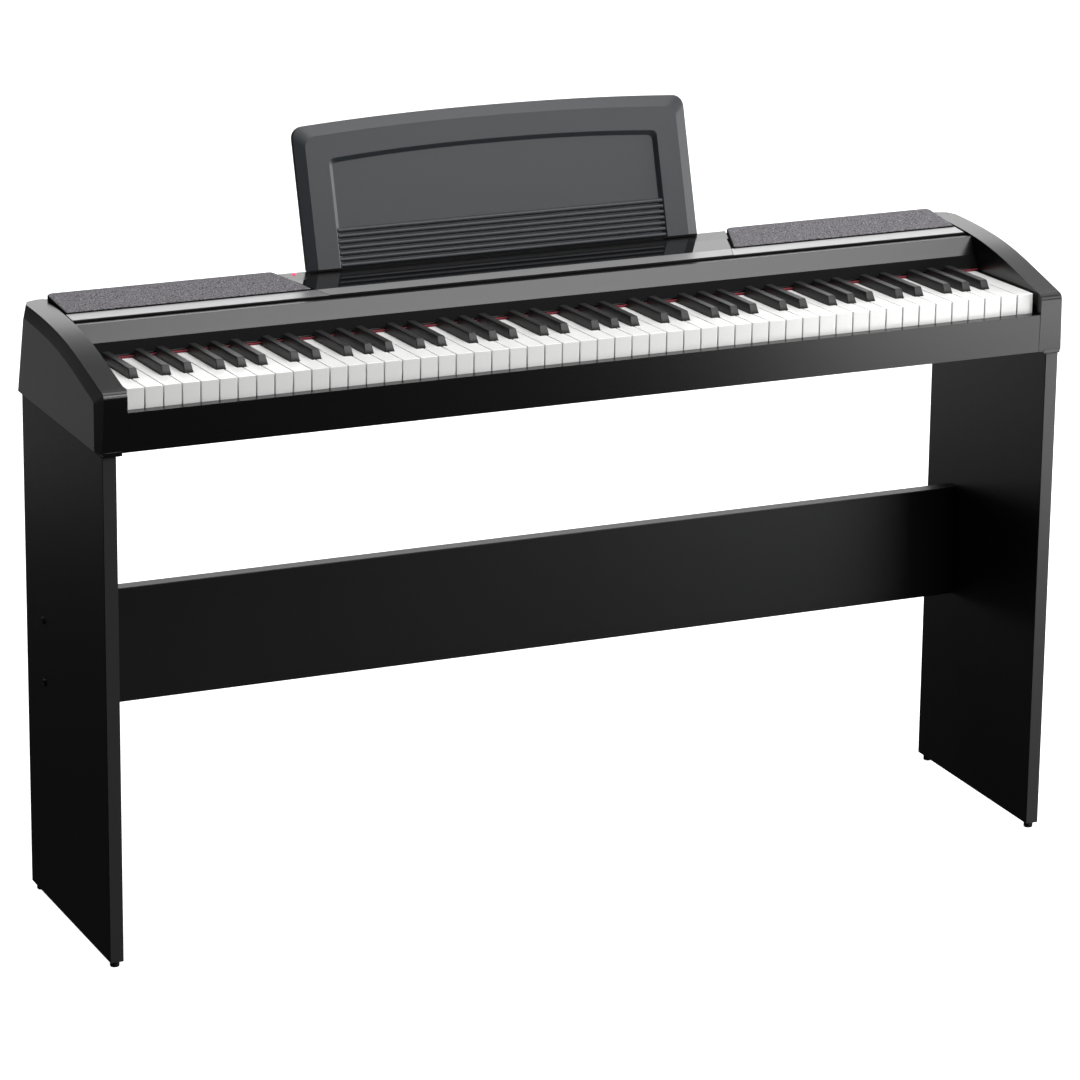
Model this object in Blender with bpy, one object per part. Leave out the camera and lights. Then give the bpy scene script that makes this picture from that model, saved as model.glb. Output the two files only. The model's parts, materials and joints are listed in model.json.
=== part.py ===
"""A digital piano with 88 keys on its wooden stand, as separate solids.

Metres, +Z up, +X to the player's right, +Y from the player to the back. Inside this script a Y of
zero is the front of the white keys and a Z of zero is the floor. The empty named piano then moves
everything back or forth, so that the origin lies under the middle of the whole object.
"""

import cmath
import math

import bmesh
import bpy

# Clearance between pieces that touch
GAP = 0.0003

# Chamfer on small round pieces
EDGE = 0.0005

# Keyboard
KEY_PITCH = 0.0235
NATURALS = 52
KEY_GAP = 0.0009
KEY_TOP_Z = 0.7286
KEY_TILT = math.radians(2.5)
HINGE_Y = 0.236
KEY_ABOVE_HINGE = 0.008
KEY_DEPTH = 0.018
SKIRT_DEPTH = 0.0275
SKIRT_WALL = 0.0036
HEAD_LENGTH = 0.0465
CAP_LENGTH = 0.156
KEY_ROUND = 0.0009
SHARP_REAR = 0.1495
SHARP_HEIGHT = 0.0115
SHARP_BASE = 0.0120
SHARP_TOP = 0.0098
SHARP_RAKE = 0.007
SHARP_SIDE_GAP = 0.0009

# Behind the keys, where each group's sticks end in one of three hinge bars
STICK_WIDTH = 0.009
STICK_TOP = 0.004
STICK_BOTTOM = 0.0092
STICK_LAP = 0.008
BAR_FRONT = 0.004
BAR_REAR = 0.012
BAR_THICK = 0.003
BAR_SPACE = 0.0012
BAR_LOWEST = -0.009
TONGUE_INSET = 0.0003
SINGLE_OCTAVE = 4

# End blocks, which close the case at both ends
CHEEK_CLEAR = 0.0035
CHEEK_ROUND_WIDTH = 0.0095
CHEEK_CORNER_WIDTH = 0.0235
CHEEK_RIM_WIDTH = 0.0295
CHEEK_FOOT_WIDTH = 0.0320
CHEEK_PANEL_TOP_WIDTH = 0.0325
CHEEK_PANEL_FOOT_WIDTH = 0.0355
CHEEK_CORNER_PULL = 0.006
CHEEK_RIM_PULL = (0.020, 0.0024)
CHEEK_PANEL_PULL = (0.020, 0.010)
NOSE_Y = -0.0158
NOSE_Z = 0.7206
NOSE_RADIUS = 0.009
FRONT_FOOT_Y = -0.0130
RIM_CURVE = ((-0.0080, 0.7296), (0.0972, 0.7541), (0.1262, 0.7680), (0.2680, 0.7680))
BAND_CURVE = ((0.0100, 0.7135), (0.1080, 0.7370), (0.1350, 0.7485), (0.2680, 0.7513))
BAND_NOSE_RADIUS = 0.003
BAND_FOOT_Y = 0.005
REAR_ROUND = 0.003
CHEEK_WALL = 0.010
CHEEK_INNER_WALL = 0.004
PAD_WIDTH = 0.0310
PAD_SIZE = (0.0245, 0.040)
PAD_FRONT_YS = (-0.0135, 0.246)

# Case
CASE_BOTTOM_Z = 0.654
CASE_WALL = 0.003
CASE_SPLIT_Z = 0.700
CASE_REAR_Y = 0.3017
CASE_REAR_LEAN = 0.0702
RAIL_TOP_Z = 0.7031
RAIL_FRONT_Y = -0.0145
RAIL_REAR_Y = -0.0015
LIP_Y = 0.1533
LIP_Z = 0.7245
LIP_FACE = 0.002
BOARD_EDGE = (0.1635, 0.7410)
BOARD_TOP = (0.1730, 0.7633)
DECK_Y = 0.1904
DECK_Z = 0.7651
DECK_SLOPE = 0.0556
TRIM_THICK = 0.0028
TRIM_REAR_Y = 0.2148
TRIM_SIDE_GAP = 0.0022
PANEL_REAR_Y = 0.2569
PANEL_PROUD = 0.0005
MIDDLE_HALF = 0.2777
MIDDLE_FLARE = 0.34
SEAM = 0.0006
LEDGE_FRONT_Y = 0.2572
LEDGE_REAR_Y = 0.2895
LEDGE_EXTRA_X = 0.0025
FELT_FRONT_Y = 0.1505
FELT_TOP_Z = 0.7262

# Speaker covers and speakers
COVER_FRONT = (0.2160, 0.7684)
COVER_REAR = (0.2900, 0.7750)
COVER_SIDE_GAPS = (0.0028, 0.0012)
COVER_MARGIN = 0.004
COVER_FRONT_CORNER = 0.002
COVER_REAR_CORNER = 0.009
COVER_WALL = 0.002
COVER_EDGE = 0.0012
SPEAKER_X = 0.450
SPEAKER_Y = 0.253
SPEAKER_HALF = (0.058, 0.0285)
SPEAKER_HOLE = 0.93
SPEAKER_DEPTH = 0.026
SPEAKER_FLANGE = 0.0015
BASKET_LAP = 0.03

# Music rest
REST_Y = 0.284
REST_Z = 0.769
REST_LEAN = math.radians(17)
REST_HALF = 0.271
REST_SHOULDER = 0.1835
REST_CROWN = 0.1922
REST_CORNER = 0.015
REST_FRAME = 0.0142
REST_CHAMFER = 0.004
REST_FRONT = 0.005
REST_BACK = 0.006
REST_BACK_ROUND = 0.0012
TONGUE_HALF = 0.250
TONGUE_DEPTH = 0.009
TONGUE_FRONT = 0.001
TONGUE_BACK = 0.005
RECESS_HALF = 0.2268
RECESS_SHOULDER = 0.1405
RECESS_CROWN = 0.1487
RECESS_CORNER = 0.007
RECESS_DEPTH = 0.005
RECESS_SLOPE = 0.005
RIBS = 7
RIB_TOP = 0.053
RIB_PITCH = 0.00735
RIB_FACE = 0.0054
RIB_HEIGHT = 0.0028

# Controls, behind the rear wall
CONTROL_Z = 0.735
POWER_X = -0.285
FUNCTION_X = -0.255
VOLUME_X = -0.222
BUTTON_RADIUS = 0.0045
BUTTON_PROUD = 0.003
BUTTON_TRAVEL = 0.0015
BUTTON_FLANGE = 0.0065
KNOB_RADIUS = 0.008
BUTTON_INSIDE = 0.0022
KNOB_LENGTH = 0.0105
KNOB_CLEAR = 0.0012
SHAFT_RADIUS = 0.003
SHAFT_INSIDE = 0.0034
SWITCH_HALF = 0.004
DIAL_HALF = 0.0065
LAMP_X = -0.2886
LAMP_Y = 0.283
LAMP_RADIUS = 0.0025
CONTROL_BOARD_X = (-0.298, -0.208)
CONTROL_BOARD_Z = (0.722, 0.748)
CONTROL_BOARD_Y = 0.2835

# Sockets and main board
SOCKET_XS = (-0.045, -0.015, 0.015, 0.045)
SOCKET_Z = 0.679
SOCKET_RADIUS = 0.0064
SOCKET_BORE = 0.0034
SOCKET_FRONT_Y = 0.2840
SOCKET_FLOOR_Y = 0.2870
PLATE_HALF = (0.066, 0.014)
PLATE_LIP = 0.002
PLATE_PROUD = 0.0015
MAIN_BOARD_X = (-0.160, 0.110)
MAIN_BOARD_Y = (0.258, 0.2955)
BOARD_SHEET = 0.0016
POST_WIDTH = 0.005

# Key chassis
CHASSIS_SIDE_GAP = 0.0032
CHASSIS_STOP_Y = (0.030, 0.060)
CHASSIS_STOP_Z = 0.6975
CHASSIS_THICK = 0.0015

# Stand
BOARD_WIDTH = 0.0304
BOARD_THICK = 0.0175
BOARD_FRONT_Y = -0.0095
BOARD_REAR_Y = 0.2924
BOARD_TOP_Z = 0.650
BOARD_ROUND = 0.0008
FOOT_HEIGHT = 0.008
FOOT_RADIUS = 0.006
FOOT_YS = (0.000, 0.280)
BACK_BOARD_Y = 0.2139
BACK_BOARD_THICK = 0.0193
BACK_BOARD_Z = (0.2603, 0.4095)

CHEEK_INNER_X = NATURALS * KEY_PITCH / 2 + CHEEK_CLEAR
PAD_OUTER_X = CHEEK_INNER_X + PAD_WIDTH
BOARD_OUTER_X = CHEEK_INNER_X + BOARD_WIDTH
REST_REAR_Y = (
    REST_Y
    + (REST_CROWN - REST_BACK_ROUND) * math.sin(REST_LEAN)
    + REST_BACK * math.cos(REST_LEAN)
)
MIDDLE_Y = (NOSE_Y + REST_REAR_Y) / 2
KEY_SLOPE = math.tan(KEY_TILT)
HINGE_Z = KEY_TOP_Z - HINGE_Y * KEY_SLOPE - KEY_ABOVE_HINGE
DECK_ANGLE = math.atan(DECK_SLOPE)
NOTES = "CDEFGAB"
SHARP_OFFSET = {"C": -0.0023, "D": 0.0023, "F": -0.0034, "G": 0.0, "A": 0.0034}

FINISHES = {
    "black_gloss": ((0.012, 0.012, 0.013), 0.22, 0.0),
    "black_satin": ((0.020, 0.020, 0.021), 0.45, 0.0),
    "centre_gloss": ((0.006, 0.006, 0.007), 0.06, 0.0),
    "silver_trim": ((0.55, 0.55, 0.56), 0.35, 0.6),
    "speaker_cloth": ((0.055, 0.052, 0.056), 0.90, 0.0),
    "speaker_cone": ((0.030, 0.030, 0.032), 0.70, 0.0),
    "rest_plastic": ((0.055, 0.060, 0.066), 0.55, 0.0),
    "white_key": ((0.85, 0.85, 0.84), 0.30, 0.0),
    "black_key": ((0.030, 0.030, 0.031), 0.50, 0.0),
    "red_felt": ((0.20, 0.012, 0.020), 0.95, 0.0),
    "stand_board": ((0.014, 0.014, 0.015), 0.55, 0.0),
    "foot_plastic": ((0.015, 0.015, 0.015), 0.60, 0.0),
    "chassis_steel": ((0.45, 0.46, 0.47), 0.40, 0.9),
    "circuit_board": ((0.02, 0.12, 0.05), 0.50, 0.0),
    "lamp_red": ((0.80, 0.05, 0.08), 0.15, 0.0),
}


def clear_scene():
    """Removes whatever the file opened with."""
    for obj in list(bpy.data.objects):
        bpy.data.objects.remove(obj, do_unlink=True)


def finish(name):
    """The material of that name, made on first use."""
    found = bpy.data.materials.get(name)
    if found:
        return found
    colour, rough, metal = FINISHES[name]
    made = bpy.data.materials.new(name)
    made.use_nodes = True
    shader = made.node_tree.nodes["Principled BSDF"]
    shader.inputs["Base Color"].default_value = (*colour, 1)
    shader.inputs["Roughness"].default_value = rough
    shader.inputs["Metallic"].default_value = metal
    made.diffuse_color = (*colour, 1)
    return made


def add(name, shape, look=None, at=(0, 0, 0), turn=0.0, smooth=False):
    """A named solid under the piano's empty, with its faces turned outwards."""
    verts, faces = shape
    mesh = bpy.data.meshes.new(name)
    mesh.from_pydata([tuple(v) for v in verts], [], [tuple(f) for f in faces])
    work = bmesh.new()
    work.from_mesh(mesh)
    bmesh.ops.recalc_face_normals(work, faces=work.faces)
    work.to_mesh(mesh)
    work.free()
    obj = bpy.data.objects.new(name, mesh)
    bpy.context.scene.collection.objects.link(obj)
    obj.parent = bpy.data.objects["piano"]
    obj.location = at
    obj.rotation_euler.x = turn
    if look:
        mesh.materials.append(finish(look))
    if smooth:
        mesh.shade_smooth()
        mesh.set_sharp_from_angle(angle=math.radians(35))
    return obj


def combine(obj, other, operation, within=False):
    """A live Boolean of obj with a helper solid. With within set, obj's own shells merge too."""
    other.hide_render = True
    other.display_type = "WIRE"
    step = obj.modifiers.new(other.name, "BOOLEAN")
    step.operation = operation
    step.solver = "EXACT"
    step.use_self = within
    step.object = other


def cut(obj, name, shape, **placing):
    """Takes a shape away from obj."""
    combine(obj, add(f"{obj.name}_{name}", shape, **placing), "DIFFERENCE")


def join(obj, name, shape, within=False, **placing):
    """Adds a shape to obj."""
    combine(obj, add(f"{obj.name}_{name}", shape, **placing), "UNION", within)


def bevelled(obj, width):
    """Takes the sharpness off the edges of a finished solid."""
    step = obj.modifiers.new("bevel", "BEVEL")
    step.width = width
    step.segments = 1
    step.limit_method = "ANGLE"
    step.angle_limit = math.radians(40)
    return obj


def loft(sections):
    """Vertices and faces through several outlines, closed at both ends."""
    n = len(sections[0])
    verts = [point for section in sections for point in section]
    last = n * (len(sections) - 1)
    faces = [list(range(n)), list(range(last, last + n))]
    for start in range(0, last, n):
        for i in range(n):
            j = (i + 1) % n
            faces.append([start + i, start + j, start + n + j, start + n + i])
    return verts, faces


def box(low, high):
    """A block between two opposite corners."""
    (x0, y0, z0), (x1, y1, z1) = low, high
    ring = [(x0, y0), (x1, y0), (x1, y1), (x0, y1)]
    return loft([[(x, y, z) for x, y in ring] for z in (z0, z1)])


def along_x(outline, left, right):
    """A (y, z) outline carried along X, between two ends that may be functions of y."""
    ends = [end if callable(end) else (lambda y, at=end: at) for end in (left, right)]
    return loft([[(end(y), y, z) for y, z in outline] for end in ends])


def layered(plans):
    """A solid through (plan, height) pairs, with each height a function of y."""
    return loft([[(x, y, height(y)) for x, y in plan] for plan, height in plans])


def circle(radius, sides, stretch=1.0):
    """Points of a circle, or of an ellipse whose second axis is stretched."""
    turns = [2 * math.pi * i / sides for i in range(sides)]
    return [(radius * math.cos(t), stretch * radius * math.sin(t)) for t in turns]


def turned_y(rings, x=0.0, z=0.0, sides=20):
    """A round solid about a line along Y, through (radius, y) pairs."""
    return loft([[(x + a, y, z + b) for a, b in circle(r, sides)] for r, y in rings])


def turned_z(rings, x=0.0, y=0.0, sides=20):
    """A round solid about a line along Z, through (radius, z) pairs."""
    return loft([[(x + a, y + b, z) for a, b in circle(r, sides)] for r, z in rings])


def together(shapes):
    """Several shapes in one mesh."""
    verts, faces = [], []
    for points, sides in shapes:
        start = len(verts)
        verts += points
        faces += [[start + i for i in face] for face in sides]
    return verts, faces


def sided(shape, side):
    """The shape on the right for a side of 1, and its mirror image for -1."""
    verts, faces = shape
    return [(side * x, y, z) for x, y, z in verts], faces


def rounded(points, radii, steps=4):
    """An outline whose corners are arcs of the given radii."""
    made = []
    for i, (corner, radius) in enumerate(zip(points, radii)):
        here = complex(*corner)
        if radius == 0:
            made.append(here)
            continue
        back = complex(*points[i - 1]) - here
        ahead = complex(*points[(i + 1) % len(points)]) - here
        back /= abs(back)
        ahead /= abs(ahead)
        half = abs(cmath.phase(ahead / back)) / 2
        centre = here + (back + ahead) / abs(back + ahead) * radius / math.sin(half)
        start = here + back * radius / math.tan(half) - centre
        end = here + ahead * radius / math.tan(half) - centre
        turn = cmath.phase(end / start)
        for k in range(steps + 1):
            made.append(centre + start * cmath.rect(1, turn * k / steps))
    return [(p.real, p.imag) for p in made]


def inset(outline, by):
    """The same outline moved inwards, for corners that run anticlockwise."""
    made = []
    for i, corner in enumerate(outline):
        here = complex(*corner)
        before = here - complex(*outline[i - 1])
        after = complex(*outline[(i + 1) % len(outline)]) - here
        one = before / abs(before) * 1j
        two = after / abs(after) * 1j
        made.append(here + (one + two) / (1 + (one.conjugate() * two).real) * by)
    return [(p.real, p.imag) for p in made]


def sheet(path, thickness):
    """The outline of a folded sheet: a (y, z) path, and the same path moved to its right."""
    points = [complex(*p) for p in path]
    runs = [(b - a) / abs(b - a) * -1j for a, b in zip(points, points[1:])]
    inner = [points[0] + runs[0] * thickness]
    for corner, one, two in zip(points[1:], runs, runs[1:]):
        inner.append(corner + (one + two) / (1 + (one.conjugate() * two).real) * thickness)
    inner.append(points[-1] + runs[-1] * thickness)
    return [(p.real, p.imag) for p in points + inner[::-1]]


def curve(pulls, steps):
    """Points along a cubic curve with four control points."""
    made = []
    for k in range(steps + 1):
        t = k / steps
        weights = ((1 - t) ** 3, 3 * t * (1 - t) ** 2, 3 * t * t * (1 - t), t**3)
        made.append(tuple(sum(w * p[i] for w, p in zip(weights, pulls)) for i in (0, 1)))
    return made


def arc(centre, radius, start, end, steps):
    """Points of an arc, with its angles in degrees."""
    turns = [math.radians(start + (end - start) * k / steps) for k in range(steps + 1)]
    return [(centre[0] + radius * math.cos(t), centre[1] + radius * math.sin(t)) for t in turns]


def deck(y):
    """Height of the plane that the strips and the ledge are flush with."""
    return DECK_Z + (y - DECK_Y) * DECK_SLOPE


def seat(y):
    """Height of the lower deck that the strips, covers and panel lie on."""
    return deck(y) - TRIM_THICK - GAP


def rear(z):
    """Y of the rear wall's outer face."""
    return CASE_REAR_Y - (z - CASE_BOTTOM_Z) * CASE_REAR_LEAN


def middle(y, extra=0.0):
    """Half the width of the centre panel, whose ends slant."""
    return MIDDLE_HALF + MIDDLE_FLARE * (y - DECK_Y) + extra


def key_top(y):
    """Height of a white key's top above the hinge."""
    return KEY_ABOVE_HINGE - y * KEY_SLOPE


def sharp_centre(index):
    """X of the black key to the right of a white one, or None where there isn't one."""
    note = NOTES[(index + 5) % 7]
    if note not in SHARP_OFFSET or not 0 <= index < NATURALS - 1:
        return None
    return (index + 1 - NATURALS / 2) * KEY_PITCH + SHARP_OFFSET[note]


def natural_plan(index):
    """The outline of a white key seen from above, and the middle of its narrow part."""
    left = (index - NATURALS / 2) * KEY_PITCH + KEY_GAP / 2
    right = left + KEY_PITCH - KEY_GAP
    spare = SHARP_BASE / 2 + SHARP_SIDE_GAP
    lower, upper = sharp_centre(index - 1), sharp_centre(index)
    tail_left = left if lower is None else lower + spare
    tail_right = right if upper is None else upper - spare
    front, notch, back = -HINGE_Y, HEAD_LENGTH - HINGE_Y, CAP_LENGTH - HINGE_Y
    plan = [(left, front), (right, front)]
    plan += [(right, notch), (tail_right, notch)] if upper is not None else []
    plan += [(tail_right, back), (tail_left, back)]
    plan += [(tail_left, notch), (left, notch)] if lower is not None else []
    return plan, (tail_left + tail_right) / 2


def stick(middle_x, lap_y, end_y):
    """The narrow arm from a key's cap back to its hinge."""
    half = STICK_WIDTH / 2
    return box(
        (middle_x - half, lap_y - STICK_LAP - HINGE_Y, -STICK_BOTTOM),
        (middle_x + half, end_y, STICK_TOP),
    )


def natural(index):
    """The cap and front skirt of a white key, and the middle of its stick."""
    plan, middle_x = natural_plan(index)
    cap = layered([
        (plan, lambda y: key_top(y) - KEY_DEPTH),
        (plan, lambda y: key_top(y) - KEY_ROUND),
        (inset(plan, KEY_ROUND), key_top),
    ])
    (left, front), (right, _) = plan[:2]
    top = key_top(front)
    skirt = box(
        (left, front, top - SKIRT_DEPTH), (right, front + SKIRT_WALL, top - KEY_DEPTH / 2)
    )
    return [cap, skirt], middle_x, CAP_LENGTH


def sharp(index):
    """The body of a black key, and the middle of its stick."""
    middle_x = sharp_centre(index)
    front, back = HEAD_LENGTH + SHARP_SIDE_GAP - HINGE_Y, SHARP_REAR - HINGE_Y

    def plan(half, rake):
        return [
            (middle_x - half, front + rake),
            (middle_x + half, front + rake),
            (middle_x + half, back),
            (middle_x - half, back),
        ]

    base, top = SHARP_BASE / 2, SHARP_TOP / 2
    body = layered([
        (plan(base, 0), lambda y: key_top(y) - KEY_DEPTH),
        (plan(base, 0), lambda y: key_top(y) - KEY_ROUND),
        (plan(top + KEY_ROUND / 3, SHARP_RAKE), lambda y: key_top(y) + SHARP_HEIGHT - KEY_ROUND),
        (plan(top - KEY_ROUND, SHARP_RAKE + KEY_ROUND), lambda y: key_top(y) + SHARP_HEIGHT),
    ])
    return [body], middle_x, SHARP_REAR


def add_key(name, made, look):
    """A key that turns on its own."""
    shells, middle_x, lap_y = made
    key = add(name, together(shells), look, at=(0, HINGE_Y, HINGE_Z))
    join(key, "stick", stick(middle_x, lap_y, BAR_REAR), True, at=(0, HINGE_Y, HINGE_Z))


def add_key_group(name, made, layer, look):
    """Keys that turn together, because their sticks end in one hinge bar."""
    low = BAR_LOWEST + layer * (BAR_THICK + BAR_SPACE)
    end = -BAR_FRONT - BAR_SPACE
    half = STICK_WIDTH / 2
    shells = []
    for key_shells, middle_x, lap_y in made:
        shells += key_shells
        shells.append(stick(middle_x, lap_y, end))
        shells.append(box(
            (middle_x - half + TONGUE_INSET, end - BAR_SPACE, low + TONGUE_INSET),
            (middle_x + half - TONGUE_INSET, 0, low + BAR_THICK - TONGUE_INSET),
        ))
    keys = add(name, together(shells), look, at=(0, HINGE_Y, HINGE_Z))
    bar = box(
        (made[0][1] - half, -BAR_FRONT, low), (made[-1][1] + half, BAR_REAR, low + BAR_THICK)
    )
    join(keys, "bar", bar, True, at=(0, HINGE_Y, HINGE_Z))


def add_keys():
    """All 88 keys: one octave of single keys, and three groups for each of the others."""
    octaves = {}
    for index in range(NATURALS):
        octave = min(max((index + 5) // 7, 1), 7)
        octaves.setdefault(octave, []).append(index)
    for octave, whites in octaves.items():
        blacks = [i for i in whites if sharp_centre(i) is not None]
        if octave == SINGLE_OCTAVE:
            for i in whites:
                add_key(f"key_{NOTES[(i + 5) % 7].lower()}{octave}", natural(i), "white_key")
            for i in blacks:
                add_key(f"key_{NOTES[(i + 5) % 7].lower()}s{octave}", sharp(i), "black_key")
            continue
        for layer, part in enumerate(("outer", "inner")):
            made = [natural(i) for i in whites[layer::2]]
            add_key_group(f"keys_{octave}_{part}", made, layer, "white_key")
        add_key_group(f"keys_{octave}_sharp", [sharp(i) for i in blacks], 2, "black_key")


def cheek_section(x_at, top, nose, foot_y, pulls):
    """One outline of an end block: its front, its top curve and its rear edge."""
    top_z = top[-1][1]
    ends = [(rear(top_z) - pulls[0] - REAR_ROUND, top_z)]
    ends.append((rear(top_z - REAR_ROUND) - pulls[0], top_z - REAR_ROUND))
    ends.append((rear(CASE_BOTTOM_Z) - pulls[1], CASE_BOTTOM_Z))
    outline = [(foot_y, CASE_BOTTOM_Z)] + nose + top[1:] + ends
    return [(x_at(z), y, z) for y, z in outline]


def add_cheek(name, side):
    """An end block: a hollow moulding, open below, with two pads that stand on the stand."""
    rim, band = curve(RIM_CURVE, 11), curve(BAND_CURVE, 11)
    nose = arc((NOSE_Y + NOSE_RADIUS, NOSE_Z), NOSE_RADIUS, 180, 98, 3)
    band_nose = arc(
        (BAND_CURVE[0][0] + BAND_NOSE_RADIUS, BAND_CURVE[0][1] - BAND_NOSE_RADIUS),
        BAND_NOSE_RADIUS, 180, 98, 3,
    )

    def rim_x(z):
        down = max(0.0, (NOSE_Z - z) / (NOSE_Z - CASE_BOTTOM_Z))
        return CHEEK_INNER_X + CHEEK_RIM_WIDTH + (CHEEK_FOOT_WIDTH - CHEEK_RIM_WIDTH) * down

    def panel_x(z):
        up = (z - CASE_BOTTOM_Z) / (BAND_CURVE[-1][1] - CASE_BOTTOM_Z)
        width = CHEEK_PANEL_FOOT_WIDTH + (CHEEK_PANEL_TOP_WIDTH - CHEEK_PANEL_FOOT_WIDTH) * up
        return CHEEK_INNER_X + width

    round_x = CHEEK_INNER_X + CHEEK_ROUND_WIDTH
    corner_x = CHEEK_INNER_X + CHEEK_CORNER_WIDTH
    shape = loft([
        cheek_section(lambda z: CHEEK_INNER_X, rim, nose, FRONT_FOOT_Y, (0, 0)),
        cheek_section(lambda z: round_x, rim, nose, FRONT_FOOT_Y, (0, 0)),
        cheek_section(lambda z: corner_x, rim, nose, FRONT_FOOT_Y, (CHEEK_CORNER_PULL, 0)),
        cheek_section(rim_x, rim, nose, FRONT_FOOT_Y, CHEEK_RIM_PULL),
        cheek_section(panel_x, band, band_nose, BAND_FOOT_Y, CHEEK_PANEL_PULL),
    ])
    cheek = add(name, sided(shape, side), "black_gloss", smooth=True)
    inside = [(BAND_CURVE[0][0], CASE_BOTTOM_Z - CASE_WALL)]
    inside += curve(BAND_CURVE, 5)
    inside += [(BAND_CURVE[-1][0], CASE_BOTTOM_Z - CASE_WALL)]
    low_x = CHEEK_INNER_X + CHEEK_INNER_WALL
    high_x = CHEEK_INNER_X + CHEEK_PANEL_FOOT_WIDTH - CHEEK_WALL
    cut(cheek, "hollow", sided(along_x(inside, low_x, high_x), side))
    for i, y in enumerate(PAD_FRONT_YS):
        pad = box(
            (PAD_OUTER_X - PAD_SIZE[0], y, BOARD_TOP_Z + GAP),
            (PAD_OUTER_X, y + PAD_SIZE[1], CASE_BOTTOM_Z + CASE_WALL / 2),
        )
        join(cheek, f"pad_{i}", sided(pad, side))


def half_case():
    """Half the inside width of the case, up to the end blocks."""
    return CHEEK_INNER_X - GAP


def add_front_rail():
    """The folded rail in front of the white keys."""
    path = [(FRONT_FOOT_Y, CASE_BOTTOM_Z), (RAIL_FRONT_Y, RAIL_TOP_Z), (RAIL_REAR_Y, RAIL_TOP_Z)]
    add("front_rail", along_x(sheet(path, CASE_WALL), -half_case(), half_case()), "black_gloss")


def add_bottom_case():
    """The floor under the keys and the lower half of the rear wall."""
    path = [
        (rear(CASE_SPLIT_Z), CASE_SPLIT_Z),
        (CASE_REAR_Y, CASE_BOTTOM_Z),
        (FRONT_FOOT_Y + CASE_WALL + 2 * GAP, CASE_BOTTOM_Z),
    ]
    outline = sheet(path, CASE_WALL)
    case = add("bottom_case", along_x(outline, -half_case(), half_case()), "black_satin")
    half_x, half_z = PLATE_HALF[0] - PLATE_LIP, PLATE_HALF[1] - PLATE_LIP
    hole = box(
        (-half_x, CASE_REAR_Y - 5 * CASE_WALL, SOCKET_Z - half_z),
        (half_x, CASE_REAR_Y + 5 * CASE_WALL, SOCKET_Z + half_z),
    )
    cut(case, "socket_window", hole)


def rest_slot():
    """The slot that takes the music rest's tongue, in the frame of the rest."""
    half = TONGUE_HALF + GAP
    return box(
        (-half, -TONGUE_FRONT - GAP, -3 * TONGUE_DEPTH),
        (half, TONGUE_BACK + GAP, 2 * TONGUE_DEPTH),
    )


def add_top_case():
    """The lip, the board behind the keys, the deck, the ledge and the upper rear wall."""
    corner = seat(LEDGE_REAR_Y)
    path = [
        (LIP_Y, LIP_Z),
        (LIP_Y, LIP_Z + LIP_FACE),
        BOARD_EDGE,
        BOARD_TOP,
        (DECK_Y, seat(DECK_Y)),
        (LEDGE_REAR_Y + CASE_WALL / 3, corner),
        (rear(corner - 0.8 * CASE_WALL), corner - 0.8 * CASE_WALL),
        (rear(CASE_SPLIT_Z + GAP), CASE_SPLIT_Z + GAP),
    ]
    outline = sheet(path, CASE_WALL)
    case = add("top_case", along_x(outline, -half_case(), half_case()), "black_satin")
    lap, edge = CASE_WALL / 2, 0.8 * CASE_WALL
    ledge = [
        (LEDGE_FRONT_Y, seat(LEDGE_FRONT_Y) - lap),
        (LEDGE_FRONT_Y, deck(LEDGE_FRONT_Y)),
        (LEDGE_REAR_Y, deck(LEDGE_REAR_Y)),
        (LEDGE_REAR_Y + edge, deck(LEDGE_REAR_Y) - edge / 2),
        (rear(corner) - GAP, corner - GAP),
        (rear(corner) - lap, corner - edge),
    ]
    left = [lambda y: -middle(y, LEDGE_EXTRA_X), lambda y: middle(y, LEDGE_EXTRA_X)]
    join(case, "ledge", along_x(ledge, *left))
    cut(case, "slot", rest_slot(), at=(0, REST_Y, REST_Z), turn=-REST_LEAN)
    for side, name in ((-1, "left"), (1, "right")):
        ring = circle(SPEAKER_HALF[0] * SPEAKER_HOLE, 24, SPEAKER_HALF[1] / SPEAKER_HALF[0])
        ends = (-3 * CASE_WALL, 3 * CASE_WALL)
        hole = loft([[(x, y, z) for x, y in ring] for z in ends])
        at = (side * SPEAKER_X, SPEAKER_Y, seat(SPEAKER_Y))
        cut(case, f"{name}_opening", hole, at=at, turn=DECK_ANGLE)
    rings = [(LAMP_RADIUS + GAP, deck(LAMP_Y) + end * CASE_WALL) for end in (-5, 5)]
    cut(case, "lamp_hole", turned_z(rings, LAMP_X, LAMP_Y, 16))
    holes = ((POWER_X, BUTTON_RADIUS), (FUNCTION_X, BUTTON_RADIUS), (VOLUME_X, SHAFT_RADIUS))
    for x, radius in holes:
        rings = [(radius + GAP, rear(CONTROL_Z) + end * CASE_WALL) for end in (-3, 2)]
        cut(case, f"hole_{round(-1000 * x)}", turned_y(rings, x, CONTROL_Z, 24))


def add_felt():
    """The red strip that hangs in front of the lip, just above the white keys."""
    low = HINGE_Z + key_top(FELT_FRONT_Y - HINGE_Y) + 2 * GAP
    half = half_case() - GAP
    add("key_felt", box((-half, FELT_FRONT_Y, low), (half, LIP_Y - GAP, FELT_TOP_Z)), "red_felt")


def add_trims():
    """The silver strips in front of the speaker covers."""
    for side, name in ((-1, "left"), (1, "right")):
        outline = [
            (DECK_Y, seat(DECK_Y) + GAP), (DECK_Y, deck(DECK_Y)),
            (TRIM_REAR_Y, deck(TRIM_REAR_Y)), (TRIM_REAR_Y, seat(TRIM_REAR_Y) + GAP),
        ]
        strip = along_x(outline, lambda y: middle(y, SEAM), half_case() - TRIM_SIDE_GAP)
        add(f"{name}_trim_strip", sided(strip, side), "silver_trim")


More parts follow.
